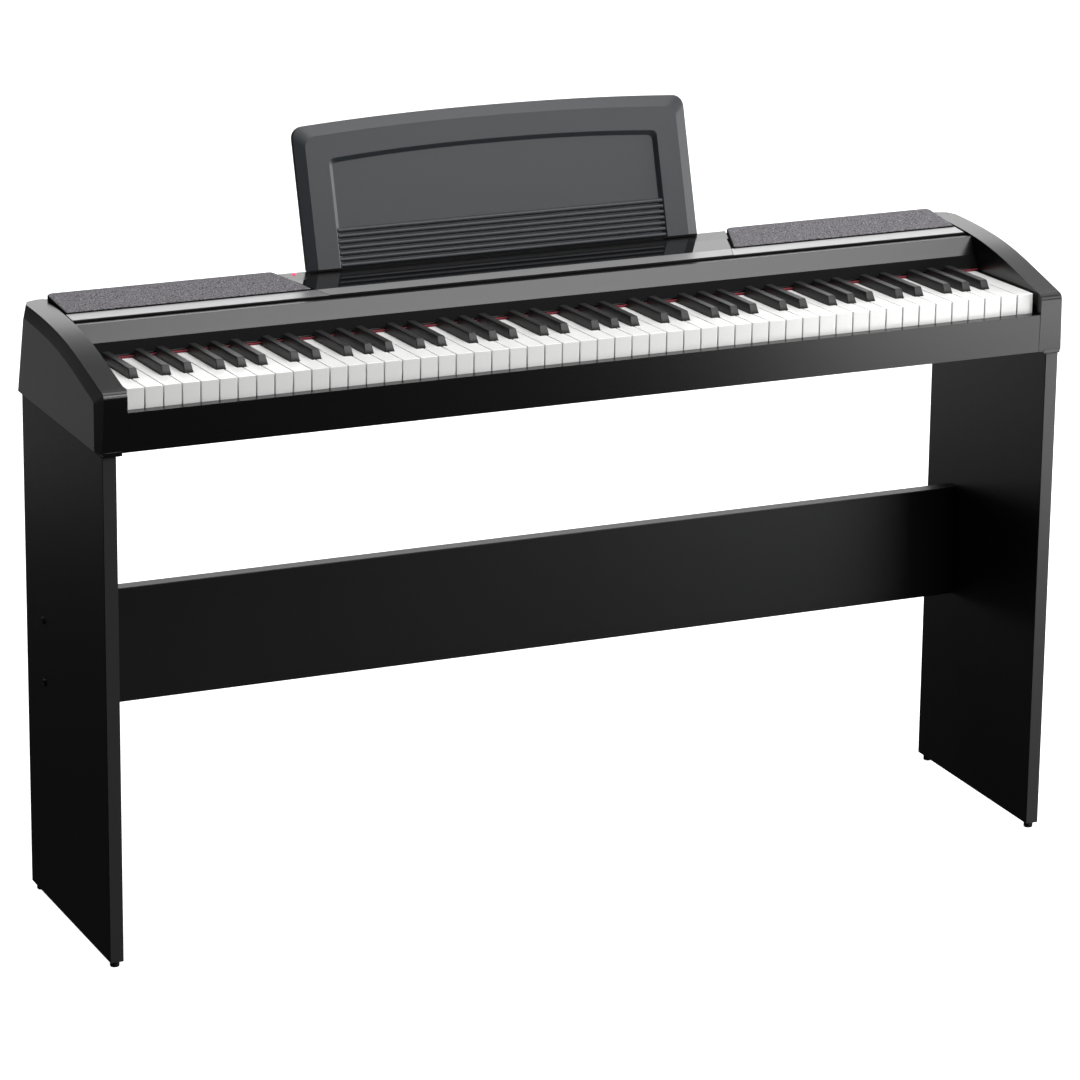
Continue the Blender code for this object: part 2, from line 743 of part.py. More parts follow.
def add_centre_panel():
    """The gloss panel between the speaker covers."""
    outline = [
        (DECK_Y, seat(DECK_Y) + GAP),
        (DECK_Y, deck(DECK_Y)),
        (TRIM_REAR_Y, deck(TRIM_REAR_Y)),
        (PANEL_REAR_Y, deck(PANEL_REAR_Y) + PANEL_PROUD),
        (PANEL_REAR_Y, seat(PANEL_REAR_Y) + GAP),
    ]
    panel = along_x(outline, lambda y: -middle(y), middle)
    add("centre_panel", panel, "centre_gloss")


def cover_top(y):
    """Height of a speaker cover's cloth."""
    slope = (COVER_REAR[1] - COVER_FRONT[1]) / (COVER_REAR[0] - COVER_FRONT[0])
    return COVER_FRONT[1] + (y - COVER_FRONT[0]) * slope


def add_covers():
    """The speaker covers, which are open below."""
    front, back = COVER_FRONT[0], COVER_REAR[0]
    corners = [
        (middle(front, COVER_MARGIN), front), (half_case() - COVER_SIDE_GAPS[0], front),
        (half_case() - COVER_SIDE_GAPS[1], back), (middle(back, COVER_MARGIN), back),
    ]
    radii = [COVER_FRONT_CORNER] * 2 + [COVER_REAR_CORNER] * 2
    plan = rounded(corners, radii, 3)
    body = layered([
        (plan, lambda y: seat(y) + GAP),
        (plan, lambda y: cover_top(y) - COVER_EDGE),
        (inset(plan, COVER_EDGE), cover_top),
    ])
    inner_radii = [max(radius - COVER_WALL, COVER_WALL / 4) for radius in radii]
    inner = rounded(inset(corners, COVER_WALL), inner_radii, 3)
    hollow = layered([
        (inner, lambda y: seat(y) - COVER_WALL),
        (inner, lambda y: cover_top(y) - COVER_WALL),
    ])
    for side, name in ((-1, "left"), (1, "right")):
        cover = add(f"{name}_speaker_cover", sided(body, side), "speaker_cloth")
        cut(cover, "hollow", sided(hollow, side))


def add_speakers():
    """The oval speakers under the covers: dust cap, cone, flange, basket and magnet."""
    flange = GAP + SPEAKER_FLANGE
    deep, basket = -SPEAKER_DEPTH, SPEAKER_HOLE - BASKET_LAP
    rings = [
        (0.12, 0.21 * deep), (0.25, 0.31 * deep), (0.80, GAP), (0.84, flange), (1.0, flange),
        (1.0, GAP), (basket, GAP), (basket - BASKET_LAP / 2, 0.15 * deep), (basket / 2, 0.62 * deep),
        (basket / 2 - BASKET_LAP / 2, deep),
    ]
    for side, name in ((-1, "left"), (1, "right")):
        sections = []
        for scale, z in rings:
            ring = circle(SPEAKER_HALF[0] * scale, 24, SPEAKER_HALF[1] / SPEAKER_HALF[0])
            sections.append([(x, y, z) for x, y in ring])
        at = (side * SPEAKER_X, SPEAKER_Y, seat(SPEAKER_Y))
        add(f"{name}_speaker", loft(sections), "speaker_cone", at=at, turn=DECK_ANGLE, smooth=True)


def rest_foot(y):
    """How far up its own plane the music rest starts, so that it stands on the ledge."""
    world_y = REST_Y + y * math.cos(REST_LEAN)
    rise = deck(world_y) + 2 * GAP - REST_Z + y * math.sin(REST_LEAN)
    return rise / math.cos(REST_LEAN)


def arched(half, shoulder, crown, corner, foot):
    """The outline of a board with a gently arched top and rounded shoulders, as (x, height)."""
    right = rounded([(half, foot), (half, shoulder), (0, crown)], [0, corner, 0], 4)[1:6]
    rise = [
        (half * part, crown - (crown - shoulder) * part**2.2)
        for part in (0.85, 0.65, 0.4, 0.0)
    ]
    left = [(-x, z) for x, z in reversed(right + rise[:-1])]
    return [(-half, foot), (half, foot)] + right + rise + left


def rest_section(y, margin=0.0):
    """One outline of the music rest, across its thickness at y."""
    outline = arched(
        REST_HALF - margin, REST_SHOULDER - margin, REST_CROWN - margin, REST_CORNER, rest_foot(y)
    )
    return [(x, y, z) for x, z in outline]


def add_music_rest():
    """The music rest, built upright and then leaned back about its slot."""
    placing = {"at": (0, REST_Y, REST_Z), "turn": -REST_LEAN}
    body = loft([
        rest_section(REST_BACK, REST_BACK_ROUND),
        rest_section(REST_BACK - REST_BACK_ROUND),
        rest_section(REST_CHAMFER - REST_FRONT),
        rest_section(-REST_FRONT, REST_FRAME),
    ])
    rest = add("music_rest", body, "rest_plastic", **placing)
    floor_y = RECESS_DEPTH - REST_FRONT
    sections = []
    for y, margin in ((-REST_FRONT - EDGE, -EDGE), (floor_y, RECESS_SLOPE)):
        outline = arched(
            RECESS_HALF - margin, RECESS_SHOULDER - margin, RECESS_CROWN - margin,
            RECESS_CORNER, -2 * TONGUE_DEPTH,
        )
        sections.append([(x, y, z) for x, z in outline])
    cut(rest, "recess", loft(sections), **placing)
    half = RECESS_HALF - RECESS_SLOPE
    ribs = []
    for i in range(RIBS):
        top = RIB_TOP - i * RIB_PITCH
        low = (-half, floor_y - RIB_HEIGHT, top - RIB_FACE)
        ribs.append(box(low, (half, floor_y + EDGE, top)))
    join(rest, "ribs", together(ribs), **placing)
    tongue = box((-TONGUE_HALF, -TONGUE_FRONT, -TONGUE_DEPTH), (TONGUE_HALF, TONGUE_BACK, TONGUE_DEPTH))
    join(rest, "tongue", tongue, **placing)


def add_controls():
    """The lamp on the ledge, and the buttons and knob of the rear wall."""
    top, under = deck(LAMP_Y), seat(LAMP_Y) - CASE_WALL
    lamp = [
        (LAMP_RADIUS * 1.6, under - LAMP_RADIUS), (LAMP_RADIUS * 1.6, under - 2 * GAP),
        (LAMP_RADIUS, under - 2 * GAP), (LAMP_RADIUS, top + GAP),
        (LAMP_RADIUS * 0.75, top + LAMP_RADIUS * 0.36), (LAMP_RADIUS * 0.3, top + LAMP_RADIUS / 2),
    ]
    add("power_lamp", turned_z(lamp, LAMP_X, LAMP_Y, 16), "lamp_red", smooth=True)
    wall = rear(CONTROL_Z)
    inner = wall - CASE_WALL
    for name, x in (("power_button", POWER_X), ("function_button", FUNCTION_X)):
        rings = [
            (BUTTON_FLANGE, -BUTTON_INSIDE), (BUTTON_FLANGE, -BUTTON_INSIDE / 2),
            (BUTTON_RADIUS, -BUTTON_INSIDE / 2), (BUTTON_RADIUS, CASE_WALL + BUTTON_PROUD - EDGE),
            (BUTTON_RADIUS - EDGE, CASE_WALL + BUTTON_PROUD),
        ]
        add(name, turned_y(rings), "black_satin", at=(x, inner, CONTROL_Z), smooth=True)
    knob = [
        (SHAFT_RADIUS, -SHAFT_INSIDE), (SHAFT_RADIUS, CASE_WALL + KNOB_CLEAR),
        (KNOB_RADIUS, CASE_WALL + KNOB_CLEAR), (KNOB_RADIUS, CASE_WALL + KNOB_LENGTH - EDGE),
        (KNOB_RADIUS - EDGE, CASE_WALL + KNOB_LENGTH),
    ]
    volume = add(
        "volume_knob", turned_y(knob, sides=24), "black_satin",
        at=(VOLUME_X, inner, CONTROL_Z), smooth=True,
    )
    mark = box(
        (-EDGE, CASE_WALL + KNOB_LENGTH - EDGE, KNOB_RADIUS * 0.3),
        (EDGE, CASE_WALL + KNOB_LENGTH + EDGE, KNOB_RADIUS + EDGE),
    )
    cut(volume, "mark", mark, at=(VOLUME_X, inner, CONTROL_Z))


def add_control_board():
    """The board behind the controls, with two switches, a potentiometer and two posts."""
    (x0, x1), (z0, z1), y = CONTROL_BOARD_X, CONTROL_BOARD_Z, CONTROL_BOARD_Y
    inner = rear(CONTROL_Z) - CASE_WALL
    face = inner - BUTTON_INSIDE - BUTTON_TRAVEL - GAP
    lap = y + BOARD_SHEET / 2
    shapes = [box((x0, y, z0), (x1, y + BOARD_SHEET, z1))]
    end = inner - SHAFT_INSIDE - GAP
    for x, half, reach in (
        (POWER_X, SWITCH_HALF, face), (FUNCTION_X, SWITCH_HALF, face), (VOLUME_X, DIAL_HALF, end)
    ):
        low = (x - half, lap, CONTROL_Z - half)
        shapes.append(box(low, (x + half, reach, CONTROL_Z + half)))
    board = add("control_board", together(shapes), "circuit_board")
    half, post_z = POST_WIDTH / 2, z0 + POST_WIDTH
    reach = rear(post_z + half) - CASE_WALL - GAP
    posts = [
        box((x - half, lap, post_z - half), (x + half, reach, post_z + half))
        for x in (x0 + POST_WIDTH, x1 - POST_WIDTH)
    ]
    join(board, "posts", together(posts), True)


def add_socket_panel():
    """The plate in the rear wall with its four sockets."""
    def outline(half_z, near, far):
        low, high = SOCKET_Z - half_z, SOCKET_Z + half_z
        return [
            (rear(low) + near, low), (rear(high) + near, high),
            (rear(high) + far, high), (rear(low) + far, low),
        ]

    half_x, half_z = PLATE_HALF
    inner_x, inner_z = half_x - PLATE_LIP - GAP, half_z - PLATE_LIP - GAP
    plate = along_x(outline(half_z, GAP, PLATE_PROUD), -half_x, half_x)
    plug = along_x(outline(inner_z, -CASE_WALL, PLATE_PROUD - EDGE), -inner_x, inner_x)
    shapes = [plate, plug]
    bodies = [
        turned_y([(SOCKET_RADIUS, SOCKET_FRONT_Y), (SOCKET_RADIUS, rear(SOCKET_Z) - 2 * EDGE)],
                 x, SOCKET_Z, 16)
        for x in SOCKET_XS
    ]
    panel = add("socket_panel", together(shapes), "black_satin")
    join(panel, "bodies", together(bodies), True)
    bores = [
        turned_y([(SOCKET_BORE, SOCKET_FLOOR_Y), (SOCKET_BORE, CASE_REAR_Y + 3 * CASE_WALL)],
                 x, SOCKET_Z, 16)
        for x in SOCKET_XS
    ]
    cut(panel, "bores", together(bores))


def add_main_board():
    """The main board on four posts, under the sockets."""
    top = SOCKET_Z - SOCKET_RADIUS - GAP
    (x0, x1), (y0, y1) = MAIN_BOARD_X, MAIN_BOARD_Y
    floor = CASE_BOTTOM_Z + CASE_WALL + GAP
    deep = y1 - y0
    shapes = [box((x0, y0, top - BOARD_SHEET), (x1, y1, top))]
    # Each piece's place along and across the board, and its size in parts of the board's depth
    for along, across, wide, long, high in (
        (0.11, 0.32, 0.64, 0.32, 0.13), (0.24, 0.37, 0.37, 0.37, 0.05),
        (0.33, 0.27, 0.27, 0.16, 0.27), (0.87, 0.37, 0.53, 0.37, 0.21),
        (0.955, 0.27, 0.21, 0.21, 0.32), (0.59, 0.32, 0.59, 0.32, 0.05),
    ):
        x, y = x0 + along * (x1 - x0), y0 + across * deep
        low = (x - wide * deep / 2, y - long * deep / 2, top - BOARD_SHEET / 3)
        high_corner = (x + wide * deep / 2, y + long * deep / 2, top + high * deep)
        shapes.append(box(low, high_corner))
    board = add("main_board", together(shapes), "circuit_board")
    half = POST_WIDTH / 2
    posts = [
        box((x - half, y - half, floor), (x + half, y + half, top - BOARD_SHEET / 2))
        for x in (x0 + POST_WIDTH, x1 - POST_WIDTH)
        for y in (y0 + POST_WIDTH, y1 - POST_WIDTH)
    ]
    join(board, "posts", together(posts), True)


def add_chassis():
    """The folded key tray: a stop rail under the keys' fronts and a hinge rail at the back."""
    floor = CASE_BOTTOM_Z + CASE_WALL + GAP
    stop_front, stop_back = CHASSIS_STOP_Y
    hinge_top = HINGE_Z - STICK_BOTTOM - 2 * GAP
    hinge_front, hinge_back = HINGE_Y - BAR_FRONT, HINGE_Y + BAR_REAR
    level = floor + CHASSIS_THICK
    path = [
        (stop_front, floor), (stop_front, CHASSIS_STOP_Z), (stop_back, CHASSIS_STOP_Z),
        (stop_back, level), (hinge_front, level), (hinge_front, hinge_top),
        (hinge_back, hinge_top), (hinge_back, floor),
    ]
    outline = sheet(path, CHASSIS_THICK)
    half = half_case() - CHASSIS_SIDE_GAP
    add("key_chassis", along_x(outline, -half, half), "chassis_steel")


def add_stand():
    """Two side boards on round feet, with the back board between them."""
    inner = BOARD_OUTER_X - BOARD_THICK
    for side, name in ((-1, "left"), (1, "right")):
        board = box(
            (inner, BOARD_FRONT_Y, FOOT_HEIGHT), (BOARD_OUTER_X, BOARD_REAR_Y, BOARD_TOP_Z)
        )
        made = add(f"{name}_side_board", sided(board, side), "stand_board")
        bevelled(made, BOARD_ROUND)
        for y, place in zip(FOOT_YS, ("front", "rear")):
            rings = [
                (FOOT_RADIUS - 2 * EDGE, 0), (FOOT_RADIUS, 2 * EDGE), (FOOT_RADIUS, FOOT_HEIGHT - GAP)
            ]
            middle_x = side * (inner + BOARD_OUTER_X) / 2
            foot = turned_z(rings, middle_x, y, 20)
            add(f"{name}_{place}_foot", foot, "foot_plastic", smooth=True)
    back = box(
        (-inner + GAP, BACK_BOARD_Y, BACK_BOARD_Z[0]),
        (inner - GAP, BACK_BOARD_Y + BACK_BOARD_THICK, BACK_BOARD_Z[1]),
    )
    bevelled(add("back_board", back, "stand_board"), BOARD_ROUND)


def main():
    """Builds the whole piano."""
    clear_scene()
    piano = bpy.data.objects.new("piano", None)
    bpy.context.scene.collection.objects.link(piano)
    piano.location.y = -MIDDLE_Y
    add_keys()
    add_cheek("left_cheek", -1)
    add_cheek("right_cheek", 1)
    add_front_rail()
    add_bottom_case()
    add_top_case()
    add_felt()
    add_trims()
    add_centre_panel()
    add_covers()
    add_speakers()
    add_music_rest()
    add_controls()
    add_control_board()
    add_socket_panel()
    add_main_board()
    add_chassis()
    add_stand()


main()
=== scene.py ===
# %% [markdown]
# # A digital piano on its wooden stand
#
# The solids of the piano come from CAD, with their real sizes and joints. This notebook gives
# them the shapes and finishes that the eye notices: rounded key edges, a moulded music rest,
# cloth on the speaker covers. Every new piece is a surface worked out with arrays, so its shape
# is a formula and not a drawing.

import json
import math

import bmesh
import bpy
import numpy as np
from mathutils import Matrix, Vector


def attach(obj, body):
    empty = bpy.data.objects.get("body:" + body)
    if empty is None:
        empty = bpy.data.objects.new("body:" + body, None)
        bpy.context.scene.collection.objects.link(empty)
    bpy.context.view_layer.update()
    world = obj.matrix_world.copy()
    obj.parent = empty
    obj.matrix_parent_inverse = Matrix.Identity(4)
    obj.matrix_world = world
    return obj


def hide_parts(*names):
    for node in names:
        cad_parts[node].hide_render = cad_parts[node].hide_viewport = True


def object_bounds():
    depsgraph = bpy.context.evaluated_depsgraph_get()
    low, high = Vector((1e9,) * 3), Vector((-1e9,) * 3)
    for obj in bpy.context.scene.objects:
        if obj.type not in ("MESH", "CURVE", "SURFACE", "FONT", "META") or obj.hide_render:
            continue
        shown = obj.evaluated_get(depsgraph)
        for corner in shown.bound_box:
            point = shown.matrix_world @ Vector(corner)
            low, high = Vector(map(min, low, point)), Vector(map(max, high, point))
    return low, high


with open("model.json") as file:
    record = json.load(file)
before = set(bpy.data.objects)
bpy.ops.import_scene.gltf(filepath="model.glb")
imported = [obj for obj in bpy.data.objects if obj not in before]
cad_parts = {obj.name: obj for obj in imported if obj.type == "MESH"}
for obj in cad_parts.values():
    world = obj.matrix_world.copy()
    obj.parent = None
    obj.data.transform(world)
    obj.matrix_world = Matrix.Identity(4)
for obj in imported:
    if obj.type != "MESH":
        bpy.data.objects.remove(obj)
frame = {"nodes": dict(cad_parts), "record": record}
cad_box = [list(map(float, corner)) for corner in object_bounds()]
print("solids:", len(frame["nodes"]), "box:", cad_box)

# %% [markdown]
# ## Sizes shared with the solids
#
# The surfaces have to lie where the solids are, so they use the same named sizes. All are in
# metres. Y runs from the player to the back, and starts at the front of the white keys. The
# solids' own origin lies in the middle of the piano, so one shift in Y takes a piece there.

# %% Shared sizes
NOSE_Y = -0.0158
SHIFT_Y = cad_box[0][1] - NOSE_Y
GAP = 0.0003
KEY_PITCH = 0.0235
NATURALS = 52
END_ROOM = 0.0035
CHEEK_INNER_X = NATURALS * KEY_PITCH / 2 + END_ROOM
HALF_CASE = CHEEK_INNER_X - GAP
CASE_BOTTOM_Z = 0.654
CASE_WALL = 0.003
BOARD_TOP_Z = 0.650
REAR_Y, REAR_LEAN = 0.3017, 0.0702
DECK_Y, DECK_Z, DECK_RISE = 0.1904, 0.7651, 0.0556
INSERT_DEPTH = 0.0028
PANEL_HALF, PANEL_FLARE = 0.2777, 0.34
print("shift in Y:", round(SHIFT_Y, 5), "inner width:", round(2 * CHEEK_INNER_X, 4))


def deck(y):
    """Height of the deck's upper faces, which rise evenly to the back."""
    return DECK_Z + (y - DECK_Y) * DECK_RISE


def seat(y):
    """Height of the lower deck, under the strips, the covers and the centre panel."""
    return deck(y) - INSERT_DEPTH - GAP


def rear(z):
    """Y of the rear wall's outer face, which leans forwards as it rises."""
    return REAR_Y - (z - CASE_BOTTOM_Z) * REAR_LEAN


def middle(y):
    """Half the width of the centre panel, which grows evenly to the back."""
    return PANEL_HALF + PANEL_FLARE * (y - DECK_Y)


# %% [markdown]
# ## Surfaces from grids
#
# A skin is a grid of points: each row is one outline, and the rows follow each other along the
# piece. Neighbouring points make a four-sided face, and the first and last rows may be closed
# with a flat lid. Nearly every moulded or sawn piece of the piano can be made this way.

# %% Skins
SIDES = ((-1, "left"), (1, "right"))


def skin(rows, wrap=True, lids=(True, True)):
    """Points and faces of a grid: face (i, j) joins rows i, i+1 and columns j, j+1."""
    rows = np.asarray(rows, dtype=float)
    count, across = rows.shape[:2]
    steps = across if wrap else across - 1
    i, j = np.meshgrid(np.arange(count - 1), np.arange(steps), indexing="ij")
    k = (j + 1) % across
    quads = np.stack([i * across + j, i * across + k, (i + 1) * across + k, (i + 1) * across + j], -1)
    faces = quads.reshape(-1, 4).tolist()
    if lids[0]:
        faces.append(list(range(across))[::-1])
    if lids[1]:
        faces.append(list(range((count - 1) * across, count * across)))
    return rows.reshape(-1, 3), faces


def gather(parts):
    """Several skins as one, with each face's numbers moved past the points before it."""
    points, faces, start = [], [], 0
    for part_points, part_faces in parts:
        points.append(part_points)
        faces += [[corner + start for corner in face] for face in part_faces]
        start += len(part_points)
    return np.concatenate(points), faces


def mirrored(part, side):
    """A skin with X times side, which is 1 or -1."""
    return part[0] * np.array([side, 1.0, 1.0]), part[1]


# %% [markdown]
# A skin becomes a piece of the scene when it gets a mesh, a finish and a body to ride on. The
# faces of each closed skin are turned outwards. Faces that meet at a small angle are shaded as
# one curved surface, and edges sharper than that stay crisp.

# %% Pieces
finishes = {}
piece_names = []
record_slots = {material["slot"] for material in frame["record"]["materials"]}


def shade(mesh, angle=35):
    """Smooth shading, broken where two faces meet at more than the angle."""
    mesh.polygons.foreach_set("use_smooth", np.ones(len(mesh.polygons), dtype=bool))
    mesh.set_sharp_from_angle(angle=math.radians(angle))


def dress(obj, slot, body, stands_for=()):
    """Gives a piece its finish and its body, and hides the solids that it stands for."""
    obj.data.materials.clear()
    obj.data.materials.append(finishes[slot])
    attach(obj, body)
    slot in record_slots
    if stands_for:
        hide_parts(*stands_for)
    piece_names.append(obj.name)
    return obj


def piece(name, parts, slot, body="piano", stands_for=(), bevel=0.0, angle=35, hollow=None):
    """One object made of the parts, in the place where the solids are."""
    points, faces = gather(parts)
    mesh = bpy.data.meshes.new(name)
    mesh.from_pydata((points + np.array([0.0, SHIFT_Y, 0.0])).tolist(), [], faces)
    built = bmesh.new()
    built.from_mesh(mesh)
    bmesh.ops.remove_doubles(built, verts=built.verts, dist=1e-7)
    bmesh.ops.recalc_face_normals(built, faces=built.faces)
    built.to_mesh(mesh)
    built.free()
    shade(mesh, angle)
    obj = bpy.data.objects.new(name, mesh)
    bpy.context.scene.collection.objects.link(obj)
    if hollow:
        hollow(obj)
    if bevel:
        round_edges(obj, bevel)
    else:
        even_out(obj)
    return dress(obj, slot, body, stands_for)


def even_out(obj):
    """Turns the normals beside a large flat face to that face, so that only its edges shade."""
    made = obj.modifiers.new("even", "WEIGHTED_NORMAL")
    made.mode = "FACE_AREA"
    made.weight = 100
    made.keep_sharp = True


def round_edges(obj, width):
    """Rounds every edge sharper than 30 degrees, as a mould or a sander leaves it."""
    made = obj.modifiers.new("rounded", "BEVEL")
    made.width = width
    made.segments = 2
    made.limit_method = "ANGLE"
    made.angle_limit = math.radians(30)
    made.harden_normals = True
    made.use_clamp_overlap = True


# %% [markdown]
# ## Outlines and blocks
#
# Corners of real parts are never sharp. An outline is a ring of points in a plane. Its corners
# are rounded with arcs, and it can be drawn inwards by a distance. A block carries an outline
# upwards, and draws it in along a quarter circle where the upper edge is rounded.

# %% Outlines
def corner_arc(before, corner, after, radius, steps):
    """Points of the arc that touches both sides of a corner, or the corner itself.

    It meets each side at radius / tan(half) from the corner, where half is half of the corner's
    angle, and its centre is radius / sin(half) away on the line between the two sides.
    """
    if radius <= 0:
        return [corner]
    u = (before - corner) / np.linalg.norm(before - corner)
    v = (after - corner) / np.linalg.norm(after - corner)
    half = math.acos(float(np.clip(u @ v, -1, 1))) / 2
    reach = radius / math.tan(half)
    start, end = corner + u * reach, corner + v * reach
    centre = corner + (u + v) / np.linalg.norm(u + v) * radius / math.sin(half)
    a, b = start - centre, end - centre
    turn = math.acos(float(np.clip(a @ b / radius**2, -1, 1)))
    t = np.linspace(0, 1, steps + 1)[:, None]
    return list(centre + (np.sin((1 - t) * turn) * a + np.sin(t * turn) * b) / math.sin(turn))


def rounded(corners, radii, steps=3):
    """A ring whose corners have been replaced with arcs."""
    corners = np.asarray(corners, dtype=float)
    ring = []
    for i, corner in enumerate(corners):
        after = corners[(i + 1) % len(corners)]
        ring += corner_arc(corners[i - 1], corner, after, radii[i], steps)
    return np.array(ring)


def drawn_in(ring, distance):
    """The ring with every side moved inwards by the distance.

    Where two sides with the inward normals m and n meet, the corner moves by the distance
    times (m + n) / (1 + m . n).
    """
    along = np.roll(ring, -1, 0) - ring
    along = along / np.linalg.norm(along, axis=1, keepdims=True)
    inward = np.stack([-along[:, 1], along[:, 0]], 1)
    if np.sum(ring[:, 0] * np.roll(ring[:, 1], -1) - np.roll(ring[:, 0], -1) * ring[:, 1]) < 0:
        inward = -inward
    before = np.roll(inward, 1, 0)
    share = 1 + np.sum(before * inward, axis=1, keepdims=True)
    return ring + (before + inward) / share * distance


def quarter(radius, steps):
    """Pairs of draw-in and drop along a rounded edge, from its side to its top.

    At an angle a of the quarter circle they are radius * (1 - cos a) and radius * (1 - sin a).
    """
    turn = np.linspace(0, math.pi / 2, steps + 1)
    return [(radius * (1 - math.cos(a)), radius * (1 - math.sin(a))) for a in turn]


def block(plan, low, high, radius, steps=3, both=False):
    """A block on a plan: heights low(y) and high(y), and its upper edges rounded.

    Each row along such an edge is the plan, drawn in and dropped by one pair of a quarter circle.
    """
    def level(ring, height):
        return np.column_stack([ring, height])

    rows = []
    if both:
        for inward, drop in reversed(quarter(radius, steps)):
            ring = drawn_in(plan, inward)
            rows.append(level(ring, low(ring[:, 1]) + drop))
    else:
        rows.append(level(plan, low(plan[:, 1])))
    for inward, drop in quarter(radius, steps):
        ring = drawn_in(plan, inward)
        rows.append(level(ring, high(ring[:, 1]) - drop))
    return skin(rows)


def flat(height):
    """A height that is the same everywhere."""
    return lambda y: np.full(len(y), float(height))


def cuboid(low, high, radius=0.0006, steps=2):
    """A box with all its edges rounded."""
    (x0, y0, z0), (x1, y1, z1) = low, high
    plan = rounded([(x0, y0), (x1, y0), (x1, y1), (x0, y1)], [radius] * 4, steps)
    return block(plan, flat(z0), flat(z1), radius, steps, both=True)


# %% [markdown]
# Knobs, feet and screws are turned: a profile of radius and height goes round an axis. The
# angle is one parameter of the surface and the place along the profile is the other.

# %% Turned pieces
def turned(profile, centre, axis="z", sides=32, lids=(True, True)):
    """A profile of (radius, distance along the axis) carried round the axis.

    A point of it at the angle a lies radius * cos a and radius * sin a across the axis.
    """
    profile = np.asarray(profile, dtype=float)
    angle = np.linspace(0, 2 * math.pi, sides, endpoint=False)
    u = profile[:, :1] * np.cos(angle)
    v = profile[:, :1] * np.sin(angle)
    along = np.repeat(profile[:, 1:], sides, axis=1)
    order = {"x": (along, u, v), "y": (u, along, v), "z": (u, v, along)}[axis]
    return skin(np.stack(order, -1) + np.asarray(centre, dtype=float), lids=lids)


# %% [markdown]
# ## Finishes
#
# A finish is a set of shader nodes. So that its maths can be read, a socket is wrapped in a
# small class whose plus, minus and times add the right node. Everything that varies over a
# surface reads the object's own coordinates, in metres, so a grain has its true size on every
# piece and stays in place when the piece moves.

# %% Sockets that can be added and multiplied
class Wire:
    """A value in a finish. Sums and products of wires are new nodes."""

    def __init__(self, finish, socket):
        self.finish, self.socket = finish, socket

    def _maths(self, operation, first, second=None):
        """A Math node on one value or two."""
        values = {0: first} if second is None else {0: first, 1: second}
        return self.finish.node("ShaderNodeMath", {"operation": operation}, values)

    def __add__(self, other):
        return self._maths("ADD", self, other)

    def __mul__(self, other):
        return self._maths("MULTIPLY", self, other)

    def __sub__(self, other):
        return self._maths("SUBTRACT", self, other)

    def power(self, other):
        """This value to the power of the other."""
        return self._maths("POWER", self, other)

    def sine(self):
        """The sine of this value, in radians."""
        return self._maths("SINE", self)

    def clipped(self):
        """This value, kept between 0 and 1."""
        return self.finish.node("ShaderNodeClamp", {}, {"Value": self})


class Finish:
    """A material with one Principled shader, and the methods that add nodes to it."""

    def __init__(self, name, colour, roughness, metallic=0.0, **more):
        self.material = bpy.data.materials.new(name)
        self.material.use_nodes = True
        self.nodes = self.material.node_tree.nodes
        self.links = self.material.node_tree.links
        self.shader = self.nodes["Principled BSDF"]
        self.set("Base Color", (*colour, 1.0))
        self.set("Roughness", roughness)
        self.set("Metallic", metallic)
        for socket, value in more.items():
            self.set(socket.replace("_", " ").title().replace("Ior", "IOR"), value)
        finishes[name] = self.material

    def put(self, socket, value):
        """Sets a socket to a number, or links a wire to it."""
        if isinstance(value, Wire):
            self.links.new(value.socket, socket)
        else:
            socket.default_value = value

    def set(self, name, value):
        """Sets or links a socket of the Principled shader."""
        self.put(self.shader.inputs[name], value)

    def node(self, kind, settings, values, output=0):
        """Adds a node with its settings first and its sockets after them."""
        made = self.nodes.new(kind)
        for key, value in settings.items():
            setattr(made, key, value)
        for key, value in values.items():
            self.put(made.inputs[key], value)
        return Wire(self, made.outputs[output])

    def place(self, scale=(1.0, 1.0, 1.0)):
        """The point of the surface in the object's own metres, each axis times a scale."""
        point = self.node("ShaderNodeTexCoord", {}, {}, "Object")
        return self.node("ShaderNodeMapping", {}, {"Vector": point, "Scale": scale})

    def noise(self, scale, detail=2.0, stretch=(1.0, 1.0, 1.0)):
        """Soft random grain with that many grains to the metre."""
        values = {"Vector": self.place(stretch), "Scale": scale, "Detail": detail}
        return self.node("ShaderNodeTexNoise", {}, values, "Fac")

    def blend(self, share, first, second):
        """The first colour where the share is 0 and the second where it is 1."""
        values = {"Factor": share, 6: (*first, 1.0), 7: (*second, 1.0)}
        return self.node("ShaderNodeMix", {"data_type": "RGBA"}, values, 2)

    def axis(self, point, name):
        """One coordinate of a point: X, Y or Z."""
        return self.node("ShaderNodeSeparateXYZ", {}, {"Vector": point}, name)

    def rough_between(self, share, low, high):
        """Roughness that is low where the share is 0 and high where it is 1."""
        self.set("Roughness", share * (high - low) + low)

    def relief(self, height, depth):
        """Makes the surface look raised where the height is large."""
        values = {"Height": height, "Distance": depth, "Strength": 1.0}
        self.set("Normal", self.node("ShaderNodeBump", {}, values, "Normal"))


# %% [markdown]
# ### The finishes of the case and the stand
#
# The case is black plastic with a fine even grain, so its highlights are soft. The stand is
# board with a black foil. The centre panel is clear plastic over black and shows a mirror image
# of the music rest, so it has no grain at all. Each plastic in the list has a grey, a roughness,
# the depth of its grain in metres and the strength of its sheen.

